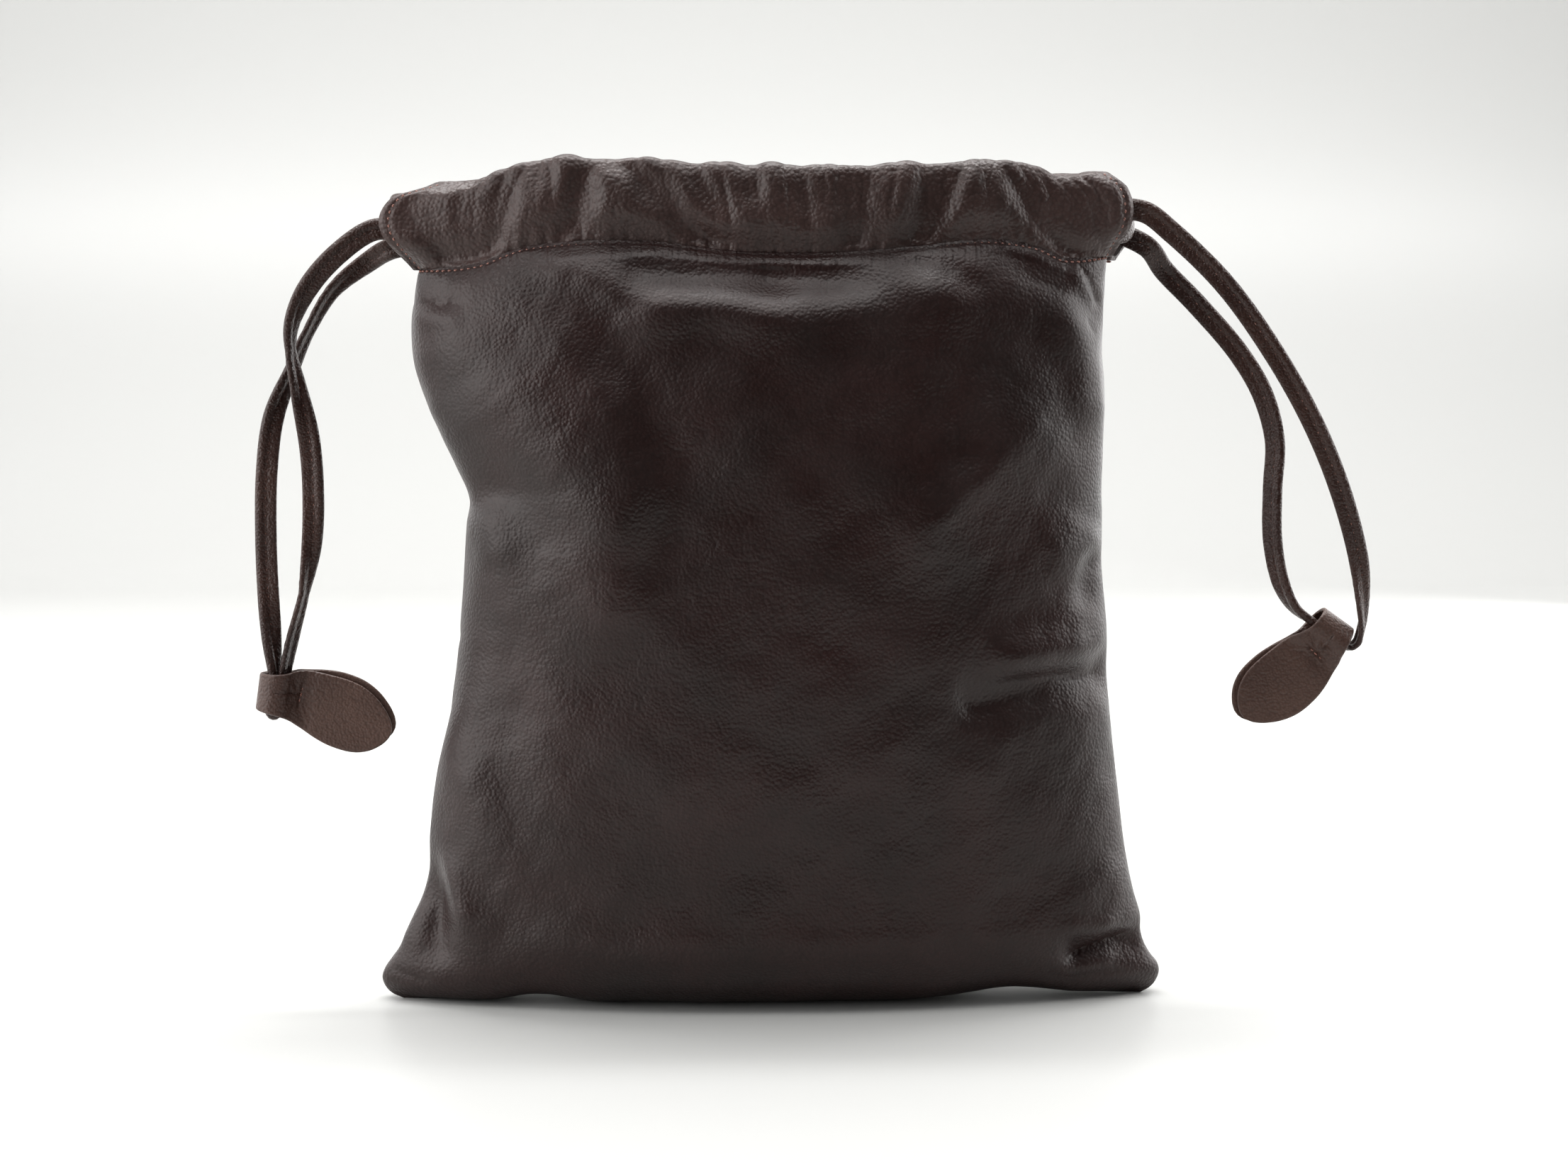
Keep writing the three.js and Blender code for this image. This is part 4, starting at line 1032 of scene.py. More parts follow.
@dataclass(frozen=True)
class ThreadFinish(Finish):
    """Waxed polyester sewing thread: twisted into fine slanting ribs, whose catching of the light is painted
    into the colour.
    """

    name: str = "waxed_thread"
    # deep is the grooves' colour with painted shade, lit is the crests' colour with painted highlight
    deep: str = "#55342b"
    lit: str = "#96675a"

    def surface(self, tree: bpy.types.NodeTree, place: bpy.types.NodeSocket) -> tuple[dict, dict]:
        """Slanting ribs in height, with painted highlight on their crests and painted shade in their
        grooves. See Finish for the arguments.
        """
        twist = add_node(
            tree,
            "ShaderNodeTexWave",
            {"Vector": place},
            {"Scale": 700.0, "Distortion": 0.5},
            bands_direction="DIAGONAL",
        ).outputs["Fac"]
        # Painted highlight and shade: the colour is lighter on the ribs' crests and darker in their grooves
        links = {
            "Base Color": dyed(tree, twist, self.deep, self.lit),
            "Normal": bump(tree, twist, 0.5, 0.0001),
        }
        return links, {"IOR": 1.5, "Roughness": 0.5}


@dataclass(frozen=True)
class PaleStageFinish(Finish):
    """A pale painted board: almost white, with a faint even gloss."""

    tone: str
    gloss: float

    def surface(self, tree: bpy.types.NodeTree, place: bpy.types.NodeSocket) -> tuple[dict, dict]:
        """One even tone. See Finish for the arguments."""
        return {}, {"Base Color": linear(self.tone), "Roughness": self.gloss, "IOR": 1.35}


def dress(piece: bpy.types.Object, finishes: list[bpy.types.Material], slot: str, *nodes: str) -> None:
    """Give a piece its finishes, let it ride on the pouch and stand for its CAD nodes.

    Args:
        piece: The new piece.
        finishes: Its materials, in slot order.
        slot: Not used.
        nodes: The CAD nodes that it replaces.
    """
    for finish in finishes:
        piece.data.materials.append(finish)
    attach(piece, "root")
    if nodes:
        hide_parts(*nodes)
    LOG.info("%s: %d faces", piece.name, len(piece.data.polygons))


def line_inside(piece: bpy.types.Object, columns: int, rows: int, thin: int) -> None:
    """Put the faces of a piece's inner wall, which follow the outer wall's, on its second slot.

    Args:
        piece: The panel or casing.
        columns: Steps of the outer wall one way.
        rows: Steps of the outer wall the other way.
        thin: How much coarser the inner wall is.
    """
    first, count = columns * rows, (columns // thin) * (rows // thin)
    slots = np.zeros(len(piece.data.polygons), dtype=np.int32)
    slots[first : first + count] = 1
    piece.data.polygons.foreach_set("material_index", slots)


@dataclass
class Panel:
    """One half of the bag body, from the seam under the base to the stitch line under the casing."""

    side: Side
    base_radius: float
    folds: Table
    creases: tuple[Crease, ...]
    columns: int
    base_rows: int
    wall_rows: int
    top_rows: int
    thin: int = 3
    top_share: float = 0.972
    hem_overlap: float = 1.3
    hem_groove: float = 0.4
    hem_fade: float = 5.0
    seam_tuck: float = 1.1
    seam_tuck_width: float = 2.6

    def points(self, across: Array, up: Array, inset: float) -> Array:
        """Points of the panel's outer face, or of its inner face at the leather's thickness.

        A section at one height is half a superellipse between the side seams. Below the wall its
        middle follows a flat and then a quarter circle, while its ends rise more slowly, and the
        ends of each row keep to the seam's height. Folds move the leather along the section's
        normal.

        Args:
            across: 0 at the left side seam and 1 at the right.
            up: 0 at the seam under the base, 1 at the top of the base's rounding, 2 at the hem.
            inset: Distance inwards from the outer face.

        Returns:
            The points in millimetres.
        """
        side, depth = self.side, side_depth(self.side)
        wall = up > 1
        wall_share = np.clip(up - 1, 0, 1)
        base_up = np.clip(up, 0, 1)
        arc = np.clip((base_up - BASE_FLAT) / (1 - BASE_FLAT), 0, 1) * np.pi / 2
        radius = self.base_radius - inset
        flat = depth * DEPTHS.columns[side.value][0] - self.base_radius
        base_reach = flat * np.minimum(1, base_up / BASE_FLAT) + radius * np.sin(arc)
        base_end = mix(inset, self.base_radius, base_up**SEAM_RISE)
        section = np.where(wall, mix(self.base_radius / HEM_HEIGHT, 1, wall_share), base_end / HEM_HEIGHT)
        fullness = DEPTHS.follow("fullness", section)
        angle = np.pi * (1 - across)
        cosine, sine = np.cos(angle), np.sin(angle)
        width, depth_share = power(cosine, 2 / fullness), np.abs(sine) ** (2 / fullness)
        ends = np.where(angle > np.pi / 2, EDGES.follow("left", section), EDGES.follow("right", section))
        wall_reach = depth * DEPTHS.follow(side.value, section) - inset
        reach = np.where(wall, wall_reach, base_reach)
        tuck = self.seam_tuck * bell(reach * depth_share, self.seam_tuck_width)
        seam = HALF_WIDTH * ends - inset
        x = width * seam - np.sign(width) * tuck * smoothstep(0.02, 0.1, section)
        base_middle = self.base_radius - radius * np.cos(arc)
        hem = hem_at(side, x)
        middle = np.where(wall, mix(self.base_radius, hem + self.hem_overlap, wall_share), base_middle)
        seam_height = np.where(wall, middle, base_end)
        end_share = np.abs(width) ** SEAM_GRIP
        level = np.where(wall, 1.0, np.sin(arc))
        tuck_under = 1.0 if side is Side.FRONT else 1 - TUCK_UNDER * level
        fade = np.where(wall, 0.0, (1 - middle / self.base_radius) ** 2 * tuck_under)
        lift = sum(
            row["rise"] * HALF_WIDTH * bell(x - row["place"] * HALF_WIDTH, row["width"] * HALF_WIDTH)
            for row in BASE_LIFTS.rows()
        )
        z = mix(middle, seam_height, end_share) + lift * fade * (1 - end_share)
        normal_x, normal_y = cosine * reach, sine * seam
        length = np.maximum(0.001, np.hypot(normal_x, normal_y))
        held = smoothstep(0, FOLD_FADE, depth_share) * smoothstep(hem, hem - self.hem_fade, z)
        shift = self.relief(x, z) * held
        shift = shift - self.hem_groove * smoothstep(hem - 0.7, hem + 0.3, z)
        down = np.sqrt(np.maximum(0, 1 - level**2))
        return np.stack(
            [
                x + shift * level * normal_x / length,
                side.sign * (SEAM_GAP / 2 + reach * depth_share + shift * level * normal_y / length),
                np.maximum(inset, z - shift * down * 0.5),
            ],
            axis=-1,
        )

    def relief(self, x: Array, z: Array) -> Array:
        """Outward shift of the leather: its folds, its finer creases and a soft random ripple."""
        depth = side_depth(self.side)
        spots = np.stack([x, z], axis=-1)
        soft = ripple(spots, 34, 0.3, 5) + ripple(spots, 12, 0.08, 9)
        fine = sum(crease.shift(x, z) for crease in self.creases)
        return 0.65 * fold_relief(self.folds, depth, x, z) + fine + soft

    def build(self) -> bpy.types.Object:
        """Make the panel as a closed shell of leather.

        Returns:
            The panel, with its inner wall on the second material slot.
        """
        rows = self.base_rows + self.wall_rows + self.top_rows
        base_up = np.linspace(0, 1, self.base_rows + 1)
        wall_up = 1 + np.linspace(0, self.top_share, self.wall_rows + 1)[1:]
        top_up = 1 + np.linspace(self.top_share, 1, self.top_rows + 1)[1:]
        up = np.concatenate([base_up, wall_up, top_up])
        across = np.linspace(0, 1, self.columns + 1)
        grid_across, grid_up = np.meshgrid(across, up)
        outer = self.points(grid_across, grid_up, 0.0)
        coarse = (slice(None, None, self.thin),) * 2
        inner = self.points(grid_across[coarse], grid_up[coarse], LEATHER)
        points, faces = shell(outer, inner, self.thin)
        below = hem_at(self.side, points[:, 0]) - points[:, 2]
        layers = {"pucker": bell(np.maximum(0, below - 1), 4.5), "run": points[:, 0] * MM}
        piece = lay_mesh(f"{self.side.value}_panel_leather", points, faces, layers)
        line_inside(piece, self.columns, rows, self.thin)
        return piece


@dataclass
class Casing:
    """The gathered channel along one side of the mouth, an open pipe of folded leather."""

    side: Side
    gathers: list[dict[str, float]]
    steps: int
    sides: int
    thin: int = 3
    foot_square: float = 5.0
    rim_notch: float = 0.55
    end_groove_at: float = 2.4
    deepest: float = 3.1
    valley_share: float = 0.65
    line_share: float = 0.8
    puff_share: float = 0.12
    gather_spread: float = 1.05
    pinch_rise: float = PINCH_RISE

    def middle(self, across: Array, rise: Array) -> Array:
        """The channel's middle: it leans from the hem to its own bowed line and hangs out at its ends.

        Args:
            across: 0 at the left end and 1 at the right.
            rise: 0 at the stitch line and 1 at the top.

        Returns:
            The points in millimetres.
        """
        side, ends = self.side, CASING_ENDS[self.side]
        across, rise = np.broadcast_arrays(across, rise)
        foot_x = mix(-ends["left"], ends["right"], across) * HALF_WIDTH
        left_share = (1 - smoothstep(0, OVERHANG_SPAN, across)) * ends["left_overhang"]
        right_share = smoothstep(1 - OVERHANG_SPAN, 1, across) * ends["right_overhang"]
        bulge = np.sin(np.pi * np.clip(rise / 0.96, 0, 1) ** 1.2) - 0.9 * smoothstep(0.8, 1, rise)
        x = foot_x + (right_share - left_share) * bulge * HALF_WIDTH
        foot = np.maximum(hem_reach(side, foot_x) - CASING_PINCH / 2, CASING_PINCH / 2 + 2 * SEAM_GAP)
        tip = CASING_THICKNESS / 2 + 2 * SEAM_GAP
        end = HALF_WIDTH * np.where(foot_x < 0, ends["left"], ends["right"])
        share = np.minimum(1, np.abs(foot_x) / end)
        line = mix(tip, MOUTH_DEPTH, (1 - share**2) ** 0.75)
        reach = mix(foot, line, smoothstep(0, LEAN_RISE, rise))
        height = rise * self.height(foot_x)
        return np.stack([x, side.sign * reach, hem_at(side, foot_x) + SEAM_GAP + height], axis=-1)

    def height(self, foot_x: Array) -> Array:
        """Height of the casing above its stitch line."""
        return CASING_HEIGHT * RIM_LINE.follow(self.side.value, foot_x / HALF_WIDTH)

    def outward(self, across: Array) -> Array:
        """Level unit vector out of the bag, square to the channel's line."""
        half = np.full(np.shape(across), 0.5)
        before = self.middle(np.maximum(0, across - 0.01), half)
        after = self.middle(np.minimum(1, across + 0.01), half)
        run = after - before
        run[..., 2] = 0
        run = unit(run)
        sign = self.side.sign
        return np.stack([-sign * run[..., 1], sign * run[..., 0], np.zeros_like(run[..., 0])], axis=-1)

    def gather(self, across: Array, rise: Array) -> Array:
        """Depth of the gathers: each is a broad soft valley with a sharper line along its middle,
        between two lower puffs, and fades down the casing. Together they stay under a limit.

        Args:
            across: Place along the casing.
            rise: Height in the casing.

        Returns:
            The inward shift in millimetres.
        """
        ends = CASING_ENDS[self.side]
        place = mix(-ends["left"], ends["right"], across)
        total = np.zeros(np.broadcast(across, rise).shape)
        hold = smoothstep(0, 0.12, rise)
        for row in self.gathers:
            away = (place - mix(row["foot"], row["top"], rise)) / (self.gather_spread * row["width"])
            fade = smoothstep(1 - row["reach"] - 0.15, 1 - row["reach"] + 0.25, rise)
            valley = self.valley_share * bell(away, 1.6) + self.line_share * fold_line(away, 0.75)
            valley = valley - self.puff_share * bell(np.abs(away) - 3.2, 1.7)
            total += CASING_THICKNESS * row["deep"] * fade * hold * valley
        return self.deepest * np.tanh(total / self.deepest)

    def points(self, across: Array, turn: Array, inset: float) -> Array:
        """Points round the channel: a superellipse, pinched at its foot and dented by the gathers.

        Args:
            across: 0 at the left end and 1 at the right.
            turn: Angle round the section, 0 at its foot and a quarter turn at its outer face.
            inset: Distance inwards from the outer face.

        Returns:
            The points in millimetres.
        """
        cosine, sine = np.cos(turn), np.sin(turn)
        fullness = CASING_FULLNESS + self.foot_square * smoothstep(0, 0.7, cosine)
        up, out = power(cosine, 2 / fullness), power(sine, 2 / fullness)
        rise = 0.5 - (0.5 - inset / CASING_HEIGHT) * up
        pinch = CASING_PINCH / CASING_THICKNESS
        half = CASING_THICKNESS / 2 * mix(pinch, 1, smoothstep(0, self.pinch_rise, rise)) - inset
        across, rise, out = np.broadcast_arrays(across, rise, out)
        dip = self.gather(across, rise) * np.maximum(0, out)
        notch = self.gather(across, np.ones_like(rise)) * smoothstep(0.7, 1, rise) * self.rim_notch
        point = self.middle(across, rise) + self.outward(across) * (half * out - dip)[..., None]
        point[..., 2] -= notch
        if inset == 0:
            point += self.outward(across) * self.fine(across, rise, out)[..., None]
        return point

    def fine(self, across: Array, rise: Array, out: Array) -> Array:
        """Fine relief of the outer face: puckers at the stitches, pleats above, a rolled end and a
        soft ripple."""
        ends = CASING_ENDS[self.side]
        span = (ends["left"] + ends["right"]) * HALF_WIDTH
        along = across * span
        up = rise * CASING_HEIGHT
        long_pucker = 0.22 * ripple(np.stack([along, up * 0.12], axis=-1), 5.5, 1.0, 3) * bell(up, 7.0)
        from_end = np.minimum(along, span - along)
        end_groove = -0.5 * bell(from_end - self.end_groove_at, 0.7) - 0.5 * bell(from_end, 0.9)
        spots = np.stack([along, up], axis=-1)
        soft = ripple(spots, 11, 0.1, 21) + ripple(spots * np.array([1, 0.3]), 5, 0.03, 33)
        pleats = ripple(np.stack([along, up * 0.15], axis=-1), 9, 0.32, 51) * smoothstep(0.1, 0.6, rise)
        front = smoothstep(0, 0.3, np.abs(out))
        return (long_pucker + pleats + soft) * front + end_groove * np.sign(out)

    def build(self) -> bpy.types.Object:
        """Make the casing as a closed pipe of leather.

        Returns:
            The casing, with its inner wall on the second material slot.
        """
        across = np.linspace(0, 1, self.steps + 1)[:, None]
        turn = (np.arange(self.sides) / self.sides * 2 * np.pi)[None, :]
        outer = self.points(across, turn, 0.0)
        inner = self.points(across[:: self.thin], turn[:, :: self.thin], LEATHER)
        points, faces = pipe(outer, inner, self.thin)
        rise = points[:, 2] - hem_at(self.side, points[:, 0])
        layers = {"pucker": 0.7 * bell(np.maximum(0, rise - 1), 3.0), "run": points[:, 0] * MM}
        piece = lay_mesh(f"{self.side.value}_casing_leather", points, faces, layers)
        line_inside(piece, self.steps, self.sides, self.thin)
        return piece


def strap_thickness(wide: Array) -> Array:
    """Half thickness of the strap across its width: a piped roll beside a flatter strip.

    Args:
        wide: Place across the strap in millimetres, positive towards the roll.

    Returns:
        Half the thickness in millimetres: a circle over the roll, a flat superellipse over the
        strip and a thin web in the groove between them.
    """
    roll = ROLL_HALF_THICK * np.sqrt(np.clip(1 - ((wide - ROLL_MIDDLE) / ROLL_HALF_WIDTH) ** 2, 0, 1))
    strip = STRIP_HALF_THICK * np.clip(1 - ((wide - STRIP_MIDDLE) / STRIP_HALF_WIDTH) ** 4, 0, 1) ** 0.5
    web = WEB_HALF_THICK * np.clip(1 - (np.abs(wide) / (STRAP_WIDTH / 2)) ** 12, 0, 1)
    return np.maximum(np.maximum(roll, strip), web)


def strap_rings(path: Array, widths: Array, rolled: Array, corners: int = 40) -> Array:
    """Sections of a strap along a path.

    Args:
        path: Centre points in millimetres.
        widths: Direction of the strap's width at each point.
        rolled: 1 or -1 for the edge that carries the piped roll at each point.
        corners: Corners round one section.

    Returns:
        The rings of points.
    """
    along = frames_along(path)
    wide = unit(widths - along * np.sum(widths * along, axis=1, keepdims=True))
    thick = np.cross(along, wide)
    angle = np.arange(corners) / corners * 2 * np.pi
    place = STRAP_WIDTH / 2 * power(np.cos(angle), 0.8)
    flip = ((1 - rolled) / 2)[:, None]
    half = mix(strap_thickness(place)[None, :], strap_thickness(-place)[None, :], flip)
    height = half * np.sign(np.sin(angle)).round(6)[None, :]
    far = np.repeat(arc_length(path)[:, None], corners, 1)
    creep = ripple(np.stack([far, np.broadcast_to(place * 0.7, half.shape)], axis=-1), 3.2, 0.05, 17)
    toward_roll = place[None, :] * mix(1.0, -1.0, flip)
    height = height * (1 + creep * np.where(toward_roll < 0, 1.2, 0.4))
    sideways = wide[:, None, :] * place[None, :, None]
    return path[:, None, :] + sideways + thick[:, None, :] * height[:, :, None]


@dataclass
class StitchRow:
    """A row of separate stitches, each a short thread that dips into the leather at both ends."""

    name: str
    length: float = 1.85
    thickness: float = 0.85
    rings: int = 7
    corners: int = 6

    def build(self, centres: Array, directions: Array, normals: Array) -> bpy.types.Object:
        """Make all the stitches as one mesh.

        Each is a rod whose radius is the square root of one minus the squared share of its half
        length, bent so that its ends lie below its middle.

        Args:
            centres: Middle of each stitch in millimetres.
            directions: Unit vector along each stitch.
            normals: Unit vector out of the leather at each stitch.

        Returns:
            The row of stitches.
        """
        share = np.linspace(-1, 1, self.rings) * 0.97
        radius = self.thickness / 2 * np.sqrt(1 - share**2)
        angle = np.arange(self.corners) / self.corners * 2 * np.pi
        along = np.broadcast_to((share * self.length / 2)[:, None], (self.rings, self.corners))
        sideways = radius[:, None] * np.cos(angle)
        height = radius[:, None] * np.sin(angle) - 0.8 * self.thickness * share[:, None] ** 2
        shape = np.stack([along, sideways, height], axis=-1)
        across = unit(np.cross(normals, directions))
        basis = np.stack([unit(directions), across, unit(normals)], axis=1)
        points = centres[:, None, None, :] + np.einsum("rcj,njk->nrck", shape, basis)
        single, faces = rod(shape)
        count = len(single)
        shifts = np.arange(len(centres)) * count
        repeated = [(group[None] + shifts[:, None, None]).reshape(-1, group.shape[1]) for group in faces]
        return lay_mesh(self.name, points.reshape(-1, 3), repeated, crisp_degrees=80)


def evenly(path: Array, pitch: float, start: float) -> tuple[Array, Array]:
    """Points at an even pitch along a path.

    Args:
        path: The path's points in millimetres.
        pitch: Distance between the points.
        start: Distance from each end of the path to the first and last point.

    Returns:
        The points, and the place of each as a path point number with a fraction.
    """
    length = arc_length(path)
    count = max(2, int((length[-1] - 2 * start) / pitch) + 1)
    at = np.linspace(start, length[-1] - start, count)
    places = np.interp(at, length, np.arange(len(path)))
    points = np.stack([np.interp(at, length, path[:, axis]) for axis in range(3)], axis=-1)
    return points, places


@dataclass
class SeamStitching:
    """The stitches that hold one casing: a row along the hem and one beside each open end."""

    casing: Casing
    pitch: float = STITCH_PITCH
    below: float = 0.1
    proud: float = 0.45

    def hem_row(self) -> tuple[Array, Array, Array]:
        """Stitches along the groove between the panel and the casing.

        Returns:
            Centres, directions and outward normals of the stitches.
        """
        side, ends = self.casing.side, CASING_ENDS[self.casing.side]
        x = np.linspace(-ends["left"] * HALF_WIDTH + 1, ends["right"] * HALF_WIDTH - 1, 700)
        y = side.sign * (SEAM_GAP / 2 + hem_reach(side, x) + self.proud)
        path = np.stack([x, y, hem_at(side, x) - self.below], axis=-1)
        centres, at = evenly(path, self.pitch, 1.0)
        nearest = np.round(at).astype(int)
        directions = frames_along(path)[nearest]
        normals = unit(np.cross(directions, np.array([0.0, 0.0, -side.sign])))
        return centres, directions, normals

    def end_row(self, end: End) -> tuple[Array, Array, Array]:
        """Stitches up the outer face of the casing, just inside one of its rolled ends.

        Args:
            end: The end of the mouth.

        Returns:
            Centres, directions and outward normals of the stitches.
        """
        casing, ends = self.casing, CASING_ENDS[self.casing.side]
        inside = casing.end_groove_at / (HALF_WIDTH * (ends["left"] + ends["right"]))
        across = np.array([[inside if end is End.LEFT else 1 - inside]])
        turn = np.linspace(0.16, 0.86, 160)[None, :] * np.pi
        path = casing.points(across, turn, 0.0)[0]
        beside = casing.points(across + 0.004, turn, 0.0)[0]
        centres, at = evenly(path, self.pitch, 0.6)
        nearest = np.round(at).astype(int)
        directions = frames_along(path)[nearest]
        normals = unit(np.cross(directions, beside[nearest] - path[nearest]))
        outward = casing.outward(across[0])[0]
        normals = normals * np.sign(normals @ outward)[:, None]
        return centres - normals * 0.05, directions, normals

    def build(self) -> bpy.types.Object:
        """Make all three rows as one piece."""
        rows = [self.hem_row(), self.end_row(End.LEFT), self.end_row(End.RIGHT)]
        centres, directions, normals = (np.concatenate(parts) for parts in zip(*rows))
        row = StitchRow(f"{self.casing.side.value}_seam_stitches")
        return row.build(centres, directions, normals)


@dataclass
class Drawstring:
    """One string: a hidden run through both casings and a free loop through its pull."""

    end: End
    front: Casing
    back: Casing
    down: Table
    up: Table
    pull: "LeafPull"
    last_turn: float
    step: float = 0.8
    run: Array = field(init=False)

    def __post_init__(self) -> None:
        """Work out the hidden run's corner points."""
        upper = STRAP_WIDTH + LANE_PITCH if self.end is End.RIGHT else 0.0
        from_left = self.end is End.LEFT
        front = self.lane(self.front, upper, not from_left)
        back = self.lane(self.back, 0.0, from_left)
        outward = 1 if from_left else -1
        self.run = np.concatenate([front, self.bend(front[-1], back[0], outward), back])

    def lane(self, casing: Casing, lift: float, from_right: bool) -> Array:
        """The run's corners inside one casing.

        Args:
            casing: The casing that it lies in.
            lift: Height above the table's lane in millimetres.
            from_right: True where the run goes from right to left.

        Returns:
            The corners in millimetres.
        """
        row = LANES[(self.end, casing.side)]
        across = mix(RUN_START, 1 - RUN_START, np.arange(RUN_STEPS + 1) / RUN_STEPS)
        across = 1 - across if from_right else across
        ends = CASING_ENDS[casing.side]
        foot_x = mix(-ends["left"], ends["right"], across) * HALF_WIDTH
        rise = mix(row["left"], row["right"], across) + lift / casing.height(foot_x)
        spread = smoothstep(0.02, 0.08, np.minimum(across, 1 - across))
        inward = mix(row["at_ends"], row["inward"], spread) * CASING_THICKNESS / 2
        return casing.middle(across, rise) - casing.outward(across) * inward[:, None]

    def bend(self, start: Array, stop: Array, outward: float) -> Array:
        """The half circle round the far end, from the front channel to the back one."""
        angle = np.radians([35, 65, 90, 115, 145])
        share = (1 - np.cos(angle)) / 2
        radius = abs(stop[1] - start[1]) / 2
        return np.stack(
            [
                mix(start[0], stop[0], share) + outward * radius * np.sin(angle),
                mix(start[1], stop[1], share),
                mix(start[2], stop[2], smoothstep(0.1, 1, share)),
            ],
            axis=-1,
        )

    def loop(self) -> tuple[Array, Array, Array]:
        """Corners of the free loop with the strap's turn and rolled edge at each.

        Returns:
            The corners in millimetres, the turns in degrees, and the rolled edges.
        """
        leave = unit(self.run[0] - self.run[1])
        arrive = unit(self.run[-1] - self.run[-2])
        down, up = self.down.columns, self.up.columns
        turn_points, turn_angles = self.pull.strap_turn()
        rolled_turn = np.linspace(down["rolled"][-1], up["rolled"][0], len(turn_points))
        corners = np.concatenate([
            [self.run[0] + leave * SEAM_GAP, self.run[0] + leave * STRAP_THICKNESS],
            np.stack([down["x"], down["y"], down["z"]], axis=-1),
            turn_points,
            np.stack([up["x"], up["y"], up["z"]], axis=-1),
            [self.run[-1] + arrive * STRAP_THICKNESS, self.run[-1] + arrive * SEAM_GAP],
        ])
        turns = np.concatenate([[0, 0], down["turn"], turn_angles, up["turn"], [self.last_turn] * 2])
        edge = [down["rolled"][0]] * 2, down["rolled"], rolled_turn, up["rolled"], [up["rolled"][-1]] * 2
        return corners, turns, np.concatenate(edge)

    def build_loop(self) -> tuple[bpy.types.Object, bpy.types.Object, Array]:
        """Make the free loop and the stitches in its groove.

        Returns:
            The loop, its stitches and its centre line in millimetres.
        """
        corners, turns, rolled = self.loop()
        path, places = spline(corners, self.step)
        steps = np.arange(len(corners))
        along = frames_along(path)
        in_view = unit(np.cross(np.array([0.0, 1.0, 0.0]), along))
        out_of_view = np.cross(along, in_view)
        angle = np.radians(np.interp(places, steps, turns))[:, None]
        widths = in_view * np.cos(angle) - out_of_view * np.sin(angle)
        edge = np.interp(places, steps, rolled)
        points, faces = rod(strap_rings(path, widths, edge))
        loop = lay_mesh(f"drawstring_{self.end.value}_strap", points, faces, crisp_degrees=70)
        wide = unit(widths - along * np.sum(widths * along, axis=1, keepdims=True))
        thick = np.cross(along, wide)
        centres, at = evenly(path, STRAP_STITCH_PITCH, 12.0)
        nearest = np.clip(np.round(at).astype(int), 0, len(path) - 1)
        groove = wide[nearest] * (edge[nearest] * 0.12)[:, None]
        middle, out = centres + groove, thick[nearest] * 0.5
        both = np.concatenate([middle + out, middle - out])
        directions = np.concatenate([along[nearest]] * 2)
        normals = np.concatenate([thick[nearest], -thick[nearest]])
        row = StitchRow(f"drawstring_{self.end.value}_stitches", 2.1, 0.5)
        return loop, row.build(both, directions, normals), path

    def build_run(self) -> bpy.types.Object:
        """Make the hidden run on edge inside the casings."""
        path, _ = spline(self.run, self.step * 1.6)
        widths = np.broadcast_to(np.array([0.0, 0.0, 1.0]), path.shape)
        points, faces = rod(strap_rings(path, widths, np.ones(len(path)), 28))
        return lay_mesh(f"drawstring_{self.end.value}_run_strap", points, faces, crisp_degrees=70)


